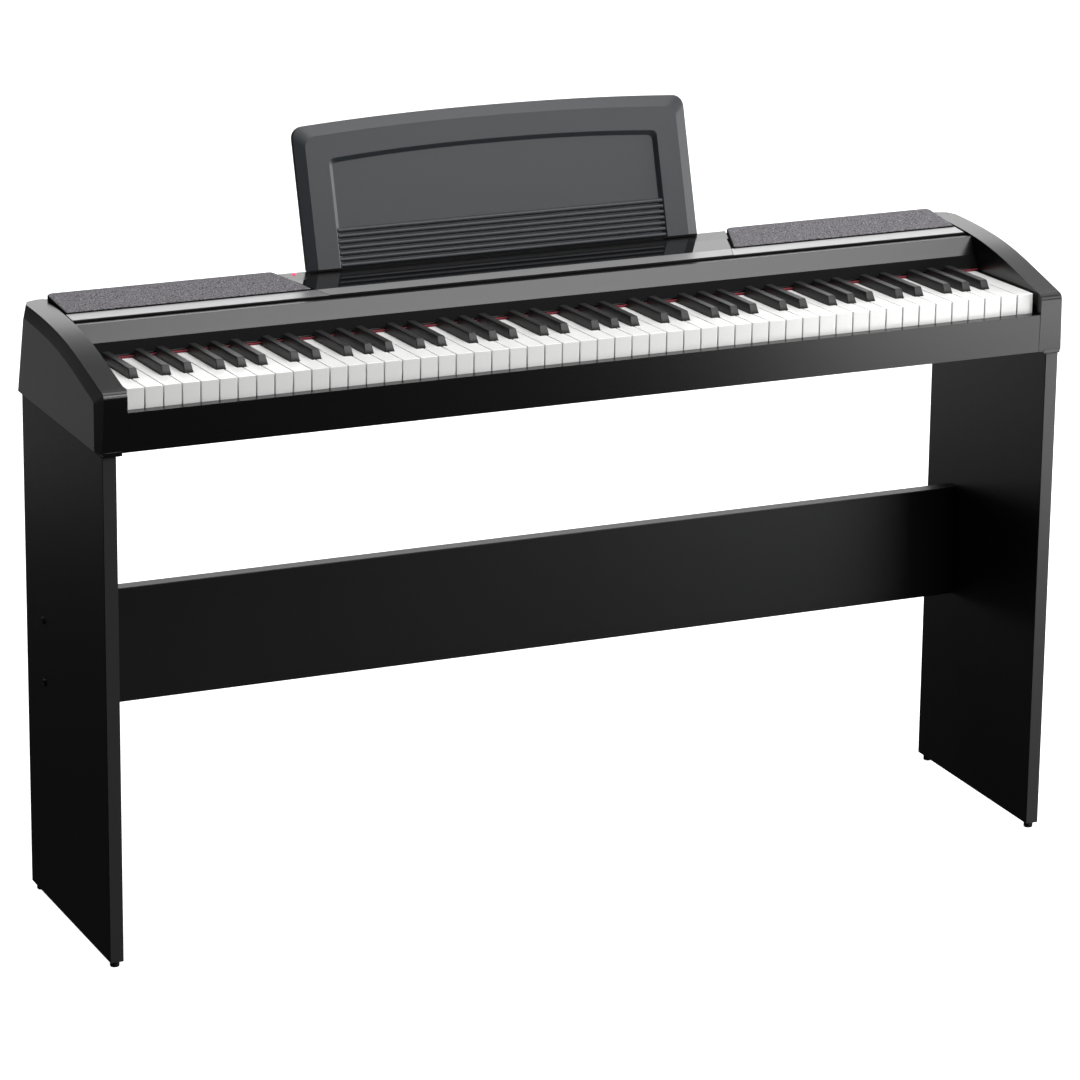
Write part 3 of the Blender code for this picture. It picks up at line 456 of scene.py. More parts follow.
# %% Case and stand
SPECKLES = 1500.0
PORES = 900.0
UPRIGHT = (1.0, 1.0, 0.35)
for name, grey, rough, depth, sheen in (
    ("black_gloss", 0.0030, 0.26, 0.000003, 0.5),
    ("black_satin", 0.0040, 0.24, 0.000003, 0.5),
    ("foot_plastic", 0.006, 0.55, 0.00002, 0.4),
    # shadow_black is painted shade: a near-black matt finish for sheets put where shade falls.
    ("shadow_black", 0.0015, 0.80, 0.00002, 0.12),
    ("speaker_cone", 0.030, 0.75, 0.00003, 0.4),
):
    plastic = Finish(name, (grey, grey, grey * 1.03), rough, specular_ior_level=sheen)
    speckle = plastic.noise(SPECKLES)
    plastic.rough_between(speckle, rough - 0.03, rough + 0.03)
    plastic.relief(speckle, depth)

foil = Finish("stand_board", (0.0045, 0.0045, 0.0048), 0.42)
pores = foil.noise(PORES, 3.0, UPRIGHT)
foil.rough_between(pores, 0.34, 0.50)
foil.relief(pores, 0.00003)

edging = Finish("edge_band", (0.030, 0.030, 0.0305), 0.36)
edging.rough_between(edging.noise(PORES, 3.0, UPRIGHT), 0.30, 0.44)

Finish("centre_gloss", (0.005, 0.005, 0.0055), 0.045)
print("finishes:", sorted(finishes))

# %% [markdown]
# ### The finishes of the inserts
#
# The strips are brushed metal: the brush leaves fine scratches along their length, so the
# grain is stretched along X. The cloth is woven from pale and dark yarn, and from a distance
# that reads as a grey speckle. Its weave is the sine of X times the sine of Y, which repeats
# every 1.2 mm. The felt is short red fibre.

# %% Inserts
SCRATCHES = 900.0
ALONG_X = (0.02, 1.0, 1.0)
THREADS = 5200.0

brushed = Finish("silver_trim", (0.37, 0.37, 0.373), 0.34, 0.75)
scratches = brushed.noise(SCRATCHES, 2.0, ALONG_X)
brushed.rough_between(scratches, 0.24, 0.46)
brushed.relief(scratches, 0.00002)

smoked = Finish("smoked_silver", (0.28, 0.28, 0.282), 0.34, 0.35)
smoked.rough_between(smoked.noise(SCRATCHES, 2.0, ALONG_X), 0.24, 0.44)

cloth = Finish("speaker_cloth", (0.10, 0.097, 0.103), 0.92)
yarn = cloth.noise(620.0, 3.0)
thread = cloth.place((THREADS, THREADS, THREADS))
weave = cloth.axis(thread, "X").sine() * cloth.axis(thread, "Y").sine()
pale = ((yarn - 0.5) * 3.2 + 0.42 + weave * 0.16).clipped()
cloth.set("Base Color", cloth.blend(pale, (0.009, 0.008, 0.010), (0.27, 0.255, 0.28)))
cloth.relief(weave + yarn * 2.0, 0.00012)

felt = Finish("red_felt", (0.20, 0.006, 0.016), 0.95, 0.0, sheen_weight=0.2)
fibre = felt.noise(1400.0, 4.0)
felt.set("Base Color", felt.blend(fibre, (0.11, 0.003, 0.009), (0.27, 0.010, 0.026)))
felt.relief(fibre, 0.0002)
print("finishes:", len(finishes))

# %% [markdown]
# ### The finishes of the keys, the music rest and the inner parts
#
# White keys are glossy and hardly absorb any light. Black keys have a matt top that doesn't
# glare under the lamps. The music rest is a grey moulding with a slight blue cast.

# %% Keys, music rest and inner parts
Finish("white_key", (0.87, 0.87, 0.86), 0.26, coat_weight=0.2, coat_roughness=0.12)

ebony = Finish("black_key", (0.008, 0.008, 0.0085), 0.40, specular_ior_level=0.38)
grain = ebony.noise(1300.0, 3.0)
ebony.rough_between(grain, 0.32, 0.47)
ebony.relief(grain, 0.00002)

moulded = Finish("rest_plastic", (0.017, 0.0205, 0.0250), 0.42, specular_ior_level=0.40)
texture = moulded.noise(1200.0, 3.0)
moulded.rough_between(texture, 0.34, 0.46)
moulded.relief(texture, 0.00003)

steel = Finish("chassis_steel", (0.50, 0.51, 0.52), 0.36, 1.0)
steel.rough_between(steel.noise(160.0, 3.0), 0.25, 0.50)

circuit = Finish("circuit_board", (0.015, 0.10, 0.04), 0.42)
tracks = circuit.noise(260.0, 1.0).power(3.0)
circuit.set("Base Color", circuit.blend(tracks, (0.010, 0.085, 0.035), (0.06, 0.20, 0.09)))

glow = (1.0, 0.03, 0.10, 1.0)
Finish("lamp_red", (0.75, 0.02, 0.06), 0.12, emission_color=glow, emission_strength=2.2)
Finish("screw_black", (0.02, 0.02, 0.021), 0.32, 0.6)
print("finishes:", len(finishes))

# %% [markdown]
# ## White keys
#
# A white key is a cap with a skirt in front. Its plan is a rectangle with a notch for each
# black key beside it, and all its edges are lightly rounded, which gives the thin bright lines
# between the keys. The narrow stick carries the cap back to the hinge. The black keys don't sit
# in the middle of the gap: each is moved by an offset that depends on its note.

# %% Key outlines
KEY_GAP = 0.0016
KEY_TOP_Z = 0.7286
KEY_SLOPE = math.tan(math.radians(2.5))
HINGE_Y = 0.236
HINGE_Z = KEY_TOP_Z - HINGE_Y * KEY_SLOPE - 0.008
HEAD_LENGTH = 0.0465
CAP_LENGTH = 0.156
NOTES = "CDEFGAB"
SHARP_OFFSET = {"C": -0.0023, "D": 0.0023, "F": -0.0034, "G": 0.0, "A": 0.0034}
SHARP_BASE = 0.0120
SHARP_GAP = 0.0009
LIP_ROUND = 0.0007
NOTCH_ROUND = 0.001


def key_top(y):
    """Height of the white keys' tops, which fall away evenly towards the back."""
    return KEY_TOP_Z - y * KEY_SLOPE


def note(index):
    """Letter of a white key, counted from the lowest one, which is an A."""
    return NOTES[(index + 5) % 7]


def sharp_centre(index):
    """X of the black key to the right of a white one, or None where there isn't one."""
    if note(index) not in SHARP_OFFSET or not 0 <= index < NATURALS - 1:
        return None
    return (index + 1 - NATURALS / 2) * KEY_PITCH + SHARP_OFFSET[note(index)]


def natural_plan(index):
    """Ring of a white key from above, the middle of its narrow part, and its two sides."""
    left = (index - NATURALS / 2) * KEY_PITCH + KEY_GAP / 2
    right = left + KEY_PITCH - KEY_GAP
    spare = SHARP_BASE / 2 + SHARP_GAP
    lower, upper = sharp_centre(index - 1), sharp_centre(index)
    tail_left = left if lower is None else lower + spare
    tail_right = right if upper is None else upper - spare
    corners, radii = [(left, 0.0), (right, 0.0)], [LIP_ROUND] * 2
    if upper is not None:
        corners += [(right, HEAD_LENGTH), (tail_right, HEAD_LENGTH)]
        radii += [NOTCH_ROUND] * 2
    corners += [(tail_right, CAP_LENGTH), (tail_left, CAP_LENGTH)]
    radii += [0.0, 0.0]
    if lower is not None:
        corners += [(tail_left, HEAD_LENGTH), (left, HEAD_LENGTH)]
        radii += [NOTCH_ROUND] * 2
    return rounded(corners, radii, 2), (tail_left + tail_right) / 2, (left, right)


print("black key after the first white one at X =", round(sharp_centre(0), 4))

# %% White key
CAP_DEPTH = 0.018
CAP_ROUND = 0.0006
SKIRT_DEPTH = 0.0036
SKIRT_LOW, SKIRT_HIGH = KEY_TOP_Z - 0.0275, KEY_TOP_Z - 0.0178
STICK_HALF = 0.0045
STICK_OVERLAP = 0.008
STICK_LOW, STICK_HIGH = HINGE_Z - 0.0092, HINGE_Z + 0.004


def natural(index):
    """Cap and skirt of a white key, the middle of its stick, and where the stick begins."""
    plan, centre, (left, right) = natural_plan(index)
    cap = block(plan, lambda y: key_top(y) - CAP_DEPTH, key_top, CAP_ROUND)
    corners = [(left, 0.0), (right, 0.0), (right, SKIRT_DEPTH), (left, SKIRT_DEPTH)]
    front = rounded(corners, [LIP_ROUND, LIP_ROUND, 0, 0], 2)
    skirt = block(front, flat(SKIRT_LOW), flat(SKIRT_HIGH), 0.0002, 1)
    return [cap, skirt], centre, CAP_LENGTH


def stick(centre, start_y, end_y):
    """The arm from under the cap back to the hinge."""
    low = (centre - STICK_HALF, start_y - STICK_OVERLAP, STICK_LOW)
    return cuboid(low, (centre + STICK_HALF, end_y, STICK_HIGH), 0.0005, 1)


# %% [markdown]
# ## Black keys
#
# A black key is a narrow bar that tapers upwards, and its front leans back so that a finger
# slides over it. Rows of the same ring are stacked: the ring gets narrower and its front moves
# back with height, and at the top both follow a quarter circle.

# %% Black key
SHARP_REAR = 0.1495
SHARP_HEIGHT = 0.0115
SHARP_TOP = 0.0098
SHARP_RAKE = 0.0062
SHARP_ROUND = 0.0015


def sharp(index):
    """Rows of a black key from its foot to its top.

    At a share s of its height each side has come in by s times the taper, and the front has
    moved back by s times the rake.
    """
    centre = sharp_centre(index)
    front = HEAD_LENGTH + SHARP_GAP
    taper = (SHARP_BASE - SHARP_TOP) / 2

    def ring(height, inward):
        share = np.clip(height / SHARP_HEIGHT, 0, 1)
        half = SHARP_BASE / 2 - taper * share - inward
        nose = front + SHARP_RAKE * share + inward * 0.8
        left, right = centre - half, centre + half
        corners = [(left, nose), (right, nose), (right, SHARP_REAR), (left, SHARP_REAR)]
        plan = rounded(corners, [0.0010, 0.0010, 0.0, 0.0], 2)
        return np.column_stack([plan, key_top(plan[:, 1]) + height])

    rows = [ring(-CAP_DEPTH, 0.0), ring(0.0, 0.0), ring(0.45 * SHARP_HEIGHT, 0.0)]
    for inward, drop in quarter(SHARP_ROUND, 4):
        rows.append(ring(SHARP_HEIGHT - drop, inward))
    return [skin(rows)], centre, SHARP_REAR


# %% [markdown]
# ## All the keys
#
# Each key of the fourth octave is a piece of its own. In the other octaves three hinge bars
# carry the keys, as their solids do: one bar has every second white key, one the white keys
# between them, and one the black keys. The bars lie above each other, a layer apart, so each
# group turns without touching the next. A short strap joins each stick to its bar.

# %% All the keys
HINGE_REAR, GROUP_REAR = 0.012, -0.0052
BAR_FRONT, BAR_DROP = 0.004, 0.009
BAR_LAYER, BAR_THICK = 0.0042, 0.003
STRAP_HALF, STRAP_OVERLAP = 0.0042, 0.0012


def key_piece(node, made, layer, slot):
    """One piece for the keys of a node, with their sticks and, in a group, their hinge bar."""
    parts = []
    single = len(made) == 1
    end = HINGE_Y + (HINGE_REAR if single else GROUP_REAR)
    low = HINGE_Z - BAR_DROP + layer * BAR_LAYER
    for shells, centre, start in made:
        parts += shells
        parts.append(stick(centre, start, end))
        if not single:
            strap_low = (centre - STRAP_HALF, end - STRAP_OVERLAP, low + GAP)
            strap_high = (centre + STRAP_HALF, HINGE_Y, low + BAR_THICK - GAP)
            parts.append(cuboid(strap_low, strap_high, 0.0002, 1))
    if not single:
        bar_low = (made[0][1] - STICK_HALF, HINGE_Y - BAR_FRONT, low)
        bar_high = (made[-1][1] + STICK_HALF, HINGE_Y + HINGE_REAR, low + BAR_THICK)
        parts.append(cuboid(bar_low, bar_high, 0.0004, 1))
    piece(f"{node}_shaped", parts, slot, node, [node])


octaves = {}
for index in range(NATURALS):
    octaves.setdefault(min(max((index + 5) // 7, 1), 7), []).append(index)
for octave, whites in octaves.items():
    blacks = [i for i in whites if sharp_centre(i) is not None]
    if octave == 4:
        for i in whites:
            key_piece(f"key_{note(i).lower()}4", [natural(i)], 0, "white_key")
        for i in blacks:
            key_piece(f"key_{note(i).lower()}s4", [sharp(i)], 0, "black_key")
        continue
    key_piece(f"keys_{octave}_outer", [natural(i) for i in whites[0::2]], 0, "white_key")
    key_piece(f"keys_{octave}_inner", [natural(i) for i in whites[1::2]], 1, "white_key")
    key_piece(f"keys_{octave}_sharp", [sharp(i) for i in blacks], 2, "black_key")
print("key pieces:", len(piece_names))

# %% [markdown]
# ## End blocks
#
# Each end of the case is one moulding. From the inside out it has a curved rim, a bevelled
# band and a side panel. A Bezier curve with four control points gives the rim's height over Y,
# and a second one gives the lower edge of the band. Outlines at five widths are joined. The
# moulding is a hollow shell that is open below, so the surface gets a wall by Solidify.

# %% Curves of the end block
def bezier(points, count):
    """Points of a cubic Bezier curve at even steps of its parameter t.

    A point is (1 - t)**3 a + 3 (1 - t)**2 t b + 3 (1 - t) t**2 c + t**3 d.
    """
    a, b, c, d = np.asarray(points, dtype=float)
    t = np.linspace(0, 1, count)[:, None]
    return (1 - t) ** 3 * a + 3 * (1 - t) ** 2 * t * b + 3 * (1 - t) * t**2 * c + t**3 * d


def arc(centre, radius, start, end, count):
    """Points of an arc: the centre plus radius * (cos a, sin a), with a in degrees."""
    turn = np.radians(np.linspace(start, end, count))
    return np.column_stack([centre[0] + radius * np.cos(turn), centre[1] + radius * np.sin(turn)])


RIM_CURVE = ((-0.0080, 0.7296), (0.0972, 0.7541), (0.1262, 0.7680), (0.2680, 0.7680))
BAND_CURVE = ((0.0100, 0.7135), (0.1080, 0.7370), (0.1350, 0.7485), (0.2680, 0.7513))
NOSE_Z = 0.7206
NOSE_ROUND = 0.009
BAND_ROUND = 0.003
REAR_ROUND = 0.003
RIM_OUT, RIM_SPREAD = 0.0295, 0.0025
PANEL_OUT, PANEL_LEAN = 0.0355, 0.0030


def block_outline(x_at, curve, nose, foot_y, pulls):
    """One outline of an end block: foot, nose, curve, rounded rear corner and rear edge.

    X is a function of the height. The rear edge is drawn forwards by two pulls, top and foot.
    """
    top_z = curve[-1][1]
    corner_y = rear(top_z) - pulls[0]
    rear_round = arc((corner_y - REAR_ROUND, top_z - REAR_ROUND), REAR_ROUND, 90, 5, 16)
    foot = [(foot_y, CASE_BOTTOM_Z)]
    end = [(rear(CASE_BOTTOM_Z) - pulls[1], CASE_BOTTOM_Z)]
    ring = np.concatenate([foot, nose, curve[1:], rear_round, end])
    return np.column_stack([x_at(ring[:, 1]), ring])


# %% End blocks
def upright(inset):
    """X that is the same at every height, that far out from the inner face."""
    return lambda z: np.full_like(z, CHEEK_INNER_X + inset)


def rim_x(z):
    """X of the rim's outer edge, which spreads by 2.5 mm from the nose down to the foot."""
    down = np.maximum(0.0, (NOSE_Z - z) / (NOSE_Z - CASE_BOTTOM_Z))
    return CHEEK_INNER_X + RIM_OUT + RIM_SPREAD * down


def panel_x(z):
    """X of the side panel, which leans in by 3 mm from the foot up to the band."""
    up = (z - CASE_BOTTOM_Z) / (BAND_CURVE[-1][1] - CASE_BOTTOM_Z)
    return CHEEK_INNER_X + PANEL_OUT - PANEL_LEAN * up


def end_block():
    """The rows of the right end block, from its inner face to its side panel."""
    rim, band = bezier(RIM_CURVE, 40), bezier(BAND_CURVE, 40)
    nose = arc((NOSE_Y + NOSE_ROUND, NOSE_Z), NOSE_ROUND, 180, 98, 18)
    band_nose = arc((0.013, 0.7105), BAND_ROUND, 180, 98, 18)
    rim_foot, band_foot = -0.0130, 0.005
    return [
        block_outline(upright(0.0), rim, nose, rim_foot, (0, 0)),
        block_outline(upright(0.0095), rim, nose, rim_foot, (0, 0)),
        block_outline(upright(0.0235), rim, nose, rim_foot, (0.006, 0)),
        block_outline(rim_x, rim, nose, rim_foot, (0.020, 0.0024)),
        block_outline(panel_x, band, band_nose, band_foot, (0.020, 0.010)),
    ]


def hollow_out(obj):
    """Gives the open shell a wall, inwards."""
    made = obj.modifiers.new("wall", "SOLIDIFY")
    made.thickness = CASE_WALL
    made.offset = -1


PAD_PLACES = (-0.0135, 0.246)
PAD_LENGTH, PAD_TOP_Z = 0.040, 0.6565
for side, name in SIDES:
    shell = skin(end_block(), wrap=False)
    piece(f"{name}_cheek_shaped", [mirrored(shell, side)], "black_gloss",
          stands_for=[f"{name}_cheek"], bevel=0.0003, angle=7, hollow=hollow_out)
    pads = []
    for y in PAD_PLACES:
        low = (CHEEK_INNER_X + 0.0065, y, BOARD_TOP_Z + GAP)
        high = (CHEEK_INNER_X + 0.031, y + PAD_LENGTH, PAD_TOP_Z)
        pads.append(mirrored(cuboid(low, high, 0.001), side))
    piece(f"{name}_cheek_pads", pads, "black_gloss")
print("points of an end block:", len(shell[0]))

# %% [markdown]
# ## Case, front rail, centre panel and socket panel
#
# These parts are folded or flat, and their solids already have the right faces. A copy of the
# solid is merged into clean faces, and its edges are rounded by a fraction of a millimetre,
# because an edge that catches no light looks like cut paper.

# %% Copies with rounded edges
def softened(node, slot, width):
    """A copy of a solid, merged into flat faces, with its edges rounded."""
    mesh = frame["nodes"][node].data.copy()
    built = bmesh.new()
    built.from_mesh(mesh)
    bmesh.ops.remove_doubles(built, verts=built.verts, dist=2e-6)
    level = math.radians(0.6)
    bmesh.ops.dissolve_limit(built, angle_limit=level, verts=built.verts, edges=built.edges)
    built.to_mesh(mesh)
    built.free()
    shade(mesh, 7)
    obj = bpy.data.objects.new(f"{node}_rounded", mesh)
    bpy.context.scene.collection.objects.link(obj)
    round_edges(obj, width)
    return dress(obj, slot, "piano", [node])


for node, slot, width in (
    ("front_rail", "black_gloss", 0.0002),
    ("bottom_case", "black_satin", 0.0004),
    ("top_case", "black_satin", 0.0003),
    ("centre_panel", "centre_gloss", 0.0003),
    ("socket_panel", "black_satin", 0.0003),
):
    copied = softened(node, slot, width)
    print(node, "faces:", len(copied.data.polygons))

# %% [markdown]
# ## Felt strip
#
# A strip of red felt lies behind the keys, and only its lower edge shows under the lip. It is
# a bar that ends just over the keys, with its edges rounded as soft felt has them.

# %% Felt
FELT_FRONT, FELT_REAR = 0.1505, 0.1532
FELT_TOP_Z = 0.7249
felt_half = CHEEK_INNER_X - 0.001
felt_low = (-felt_half, FELT_FRONT, key_top(FELT_FRONT) + 2 * GAP)
felt_bar = cuboid(felt_low, (felt_half, FELT_REAR - GAP, FELT_TOP_Z), 0.0007)
piece("key_felt_strip", [felt_bar], "red_felt", stands_for=["key_felt"])
print("felt strip:", round(2 * felt_half, 4), "m long")

# %% [markdown]
# ## Silver strips
#
# A silver strip is a thin plate on a black foot. The foot's near-black matt finish is painted
# shadow, so that it shows in front of the plate as the dark line of a shaded gap. Each is a slab:
# a plan with four corners, whose ends may slant, carried up between two heights. The ends and
# the heights are functions of Y.

# %% Silver strips
TRIM_REAR_Y = 0.2148
PLATE = 0.0008


def slab(front, back, left, right, low, high, radius=0.0002):
    """A thin block between two Y and two slanting ends, with heights that follow the deck."""
    corners = [(left(front), front), (right(front), front), (right(back), back), (left(back), back)]
    plan = rounded(corners, [radius] * 4, 2)
    return block(plan, low, high, radius, 2, both=True)


def straight(x):
    """An end with the same X at every Y."""
    return lambda y: x


def moved(value, distance):
    """A function of Y plus a distance."""
    return lambda y: value(y) + distance


inner_end = moved(middle, 0.0004)
outer_end = straight(HALF_CASE - 0.0022)
for side, name in SIDES:
    plate = slab(DECK_Y + 0.0001, TRIM_REAR_Y, inner_end, outer_end, moved(deck, -PLATE), deck)
    piece(f"{name}_strip_plate", [mirrored(plate, side)], "silver_trim",
          stands_for=[f"{name}_trim_strip"])
    # The foot's near-black matt finish is painted shadow under the plate's front edge.
    foot = slab(DECK_Y + 0.0003, TRIM_REAR_Y, inner_end, outer_end,
                moved(seat, GAP), moved(deck, -PLATE - 0.00002))
    piece(f"{name}_strip_shadow_foot", [mirrored(foot, side)], "shadow_black")
print("strip plate's points:", len(plate[0]))

# %% [markdown]
# ## Painted shade in the joints
#
# The lower face of the lip over the keys, the gutter in front of the strips and the ground
# under the strips and covers get thin sheets of matt black. They are painted shade, which
# makes the joints there look like deep, shaded gaps. In the middle the strip goes on as a smoked
# one, a skin of a quarter of a millimetre that lies in the upper face of the centre panel.

# %% Painted shade
LIP_FOOT, LIP_TOP = (0.1533, 0.7268), (0.1635, 0.7410)
LIP_SLOPE = math.radians(54.5)
SHADE_HALF = HALF_CASE - 0.0002
SHADE_FRONT_Y, SHADE_REAR_Y = 0.1868, 0.2156

out = 0.0002 * np.array([-math.sin(LIP_SLOPE), math.cos(LIP_SLOPE)])
profile = np.array([LIP_FOOT, LIP_TOP, np.add(LIP_TOP, out), np.add(LIP_FOOT, out)])
rows = [np.column_stack([np.full(4, x), profile]) for x in (-SHADE_HALF, SHADE_HALF)]
# A near-black matt sheet on the lip's lower face: painted shade under the lip.
piece("lip_painted_shade", [skin(rows)], "shadow_black")

# Near-black matt sheets under the strips and in the gutter before them: painted shade in the joints.
under_strips_shade = slab(SHADE_FRONT_Y, SHADE_REAR_Y, straight(-SHADE_HALF), straight(SHADE_HALF),
            moved(seat, 0.00004), moved(seat, 0.00026), 0.00005)
gutter_low = (-SHADE_HALF, SHADE_FRONT_Y, seat(DECK_Y) + 0.0001)
gutter = cuboid(gutter_low, (SHADE_HALF, DECK_Y, deck(DECK_Y) - 0.0009), 0.0002)
piece("strip_painted_shade", [under_strips_shade, gutter], "shadow_black")

band = slab(DECK_Y + 0.0004, TRIM_REAR_Y, lambda y: 0.0003 - middle(y), moved(middle, -0.0003),
            moved(deck, -0.0002), moved(deck, 0.00006), 0.00005)
piece("centre_smoked_strip", [band], "smoked_silver")
print("pieces:", len(piece_names))

# %% [markdown]
# ## Speaker covers
#
# A low black tray holds the cloth, which is stretched over it and makes a soft rounding at the
# edge. The tray's near-black matt finish is painted shade, for the shadow along the cover's edges.
# The plan has two tight corners in front and two wide ones behind. The tray is one skin: up the
# outside, over the edge and, on the hidden side, down inside.

# %% Covers
COVER_FRONT, COVER_REAR = 0.2160, 0.2900
COVER_Z, COVER_RISE = 0.7684, 0.0066 / 0.0740
COVER_ROUND = 0.0012
TRAY_WALL = 0.0016
CLOTH_MARGIN = 0.0008


def cover_top(y):
    """Height of the cloth, which rises evenly to the back."""
    return COVER_Z + (y - COVER_FRONT) * COVER_RISE


cover_corners = [
    (middle(COVER_FRONT) + 0.004, COVER_FRONT), (HALF_CASE - 0.0028, COVER_FRONT),
    (HALF_CASE - 0.0012, COVER_REAR), (middle(COVER_REAR) + 0.004, COVER_REAR),
]
cover_plan = rounded(cover_corners, [0.002, 0.002, 0.009, 0.009], 8)


def tray():
    """The skin of the right tray: inner wall, foot, outer wall and its upper edge."""
    inner = drawn_in(cover_plan, TRAY_WALL)
    rows = [
        np.column_stack([inner, cover_top(inner[:, 1]) - 0.002]),
        np.column_stack([inner, seat(inner[:, 1]) + GAP]),
        np.column_stack([cover_plan, seat(cover_plan[:, 1]) + GAP]),
    ]
    for inward, drop in quarter(0.0006, 3):
        ring = drawn_in(cover_plan, inward)
        rows.append(np.column_stack([ring, cover_top(ring[:, 1]) - 0.0008 - drop]))
    return skin(rows)


cloth_plan = drawn_in(cover_plan, CLOTH_MARGIN)
for side, name in SIDES:
    stretched = block(cloth_plan, moved(cover_top, -0.0015), cover_top, COVER_ROUND, 5)
    # The tray's near-black matt finish is painted shade along the cover's edges.
    piece(f"{name}_cover_shaded_tray", [mirrored(tray(), side)], "shadow_black",
          stands_for=[f"{name}_speaker_cover"])
    piece(f"{name}_cover_cloth", [mirrored(stretched, side)], "speaker_cloth")
print("cloth of a cover:", np.ptp(cloth_plan, axis=0).round(4).tolist(), "m")

# %% [markdown]
# ## Music rest
#
# The rest is a grey moulding with an arched top, a bevelled frame and a shallow recess with
# seven ribs that stop a sheet of paper from slipping. It is worked out standing upright, as
# open outlines that start and end at its foot: back, outer edge, bevel, frame, and the wall and
# floor of the recess. Then the whole is leaned back by 17 degrees about the slot in the ledge.
# An outline's shape is its half width, the height of its shoulders, the height of its crown and
# the radius of its corners.

# %% Outlines of the music rest
LEAN = math.radians(17)
REST_Y, REST_Z = 0.284, 0.769
REST_FRONT, REST_REAR = 0.005, 0.006
REST_SHAPE = (0.271, 0.1834, 0.1921, 0.015)
RECESS_SHAPE = (0.2268, 0.1405, 0.1487, 0.007)
BEVEL_DEPTH, BEVEL_WIDTH = 0.004, 0.0142
RECESS_SLOPE = 0.005


def leaned(points):
    """Turns upright points back about the slot, and puts them in their place.

    With the lean L, y becomes y cos L + z sin L, and z becomes z cos L - y sin L.
    """
    points = np.asarray(points, dtype=float)
    y = REST_Y + points[..., 1] * math.cos(LEAN) + points[..., 2] * math.sin(LEAN)
    z = REST_Z - points[..., 1] * math.sin(LEAN) + points[..., 2] * math.cos(LEAN)
    return np.stack([points[..., 0], y, z], -1)


def rest_foot(y):
    """Height at which the upright rest starts, so that the leaned one stands on the ledge.

    With the lean L it is (ledge - REST_Z + y sin L) / cos L.
    """
    rise = deck(REST_Y + y * math.cos(LEAN)) + 2 * GAP - REST_Z + y * math.sin(LEAN)
    return rise / math.cos(LEAN)


def arch(half, shoulder, crown, corner, foot, y):
    """An open outline: up the right side, over the arch and down the left side.

    The top is crown - (crown - shoulder) * |x / half| ** 2.2, and an arc joins it to the sides.
    """
    share = np.linspace(0.93, 0.0, 14)
    top = np.column_stack([half * share, crown - (crown - shoulder) * share**2.2])
    start = np.array([half, foot])
    bend = np.array(corner_arc(start, np.array([half, shoulder]), top[0], corner, 16))
    bend = bend[bend[:, 0] > top[0, 0] + 1e-4]
    right = np.concatenate([[start], bend, top])
    left = right[:-1][::-1] * np.array([-1.0, 1.0])
    ring = np.concatenate([right, left])
    return np.column_stack([ring[:, 0], np.full(len(ring), y), ring[:, 1]])


def rest_outline(shape, y, margin):
    """The arch of a shape at one depth, drawn in by a margin and standing on the ledge."""
    half, shoulder, crown, corner = shape
    return arch(half - margin, shoulder - margin, crown - margin, corner, rest_foot(y), y)


def rest_rows():
    """The open outlines of the rest, from its back to the floor of its recess."""
    rows = []
    for inward, drop in reversed(quarter(0.0012, 3)):
        rows.append(rest_outline(REST_SHAPE, REST_REAR - drop, inward))
    rows.append(rest_outline(REST_SHAPE, BEVEL_DEPTH - REST_FRONT, 0.0))
    rows.append(rest_outline(REST_SHAPE, -REST_FRONT, BEVEL_WIDTH))
    rows.append(rest_outline(RECESS_SHAPE, -REST_FRONT, 0.0))
    rows.append(rest_outline(RECESS_SHAPE, 0.0, RECESS_SLOPE))
    return rows


print("music rest:", round(2 * REST_SHAPE[0], 3), "m wide")

# %% [markdown]
# The outlines are open, so the sheet made of them lacks its foot. One more face closes it: it
# goes along the first points of all the outlines and back along their last points. The ribs are
# half-round bars. A tongue under the board stands in the slot, and a thin matt black strip at its
# foot is a painted shadow: the dark line of the gap where the rest stands in the slot.

# %% Music rest
RIBS = 7
RIB_TOP, RIB_STEP = 0.0502, 0.00735
RIB_DEPTH, RIB_HEIGHT = 0.0046, 0.0030
RIB_HALF, RIB_TIP = 0.2258, 0.0008
RIB_SIDES = 32
TONGUE_HALF = 0.250
FOOT_SHADOW_HALF = 0.2685

rows = [leaned(row) for row in rest_rows()]
sheet = skin(rows, wrap=False)
across = len(rows[0])
starts = [i * across for i in range(len(rows))]
ends = [i * across + across - 1 for i in range(len(rows))]
sheet[1].append(starts + ends[::-1])


def rib(number):
    """A half-round bar across the recess: a flattened ring of points carried along X.

    The ring is (|cos a| ** 0.7, |sin a| ** 0.85) with signs, times its depth and half height.
    """
    centre = RIB_TOP - number * RIB_STEP
    turn = np.linspace(0, 2 * math.pi, RIB_SIDES, endpoint=False)
    y = -RIB_DEPTH * np.sign(np.cos(turn)) * np.abs(np.cos(turn)) ** 0.7
    z = RIB_HEIGHT * np.sign(np.sin(turn)) * np.abs(np.sin(turn)) ** 0.85
    tip = RIB_HALF - RIB_TIP
    rows = []
    for x, scale in ((-RIB_HALF, 0.75), (-tip, 1.0), (tip, 1.0), (RIB_HALF, 0.75)):
        rows.append(np.column_stack([np.full(RIB_SIDES, x), y * scale, centre + z * scale]))
    return skin([leaned(row) for row in rows])


tongue = cuboid((-TONGUE_HALF, -0.001, -0.009), (TONGUE_HALF, 0.005, 0.004), 0.0008)
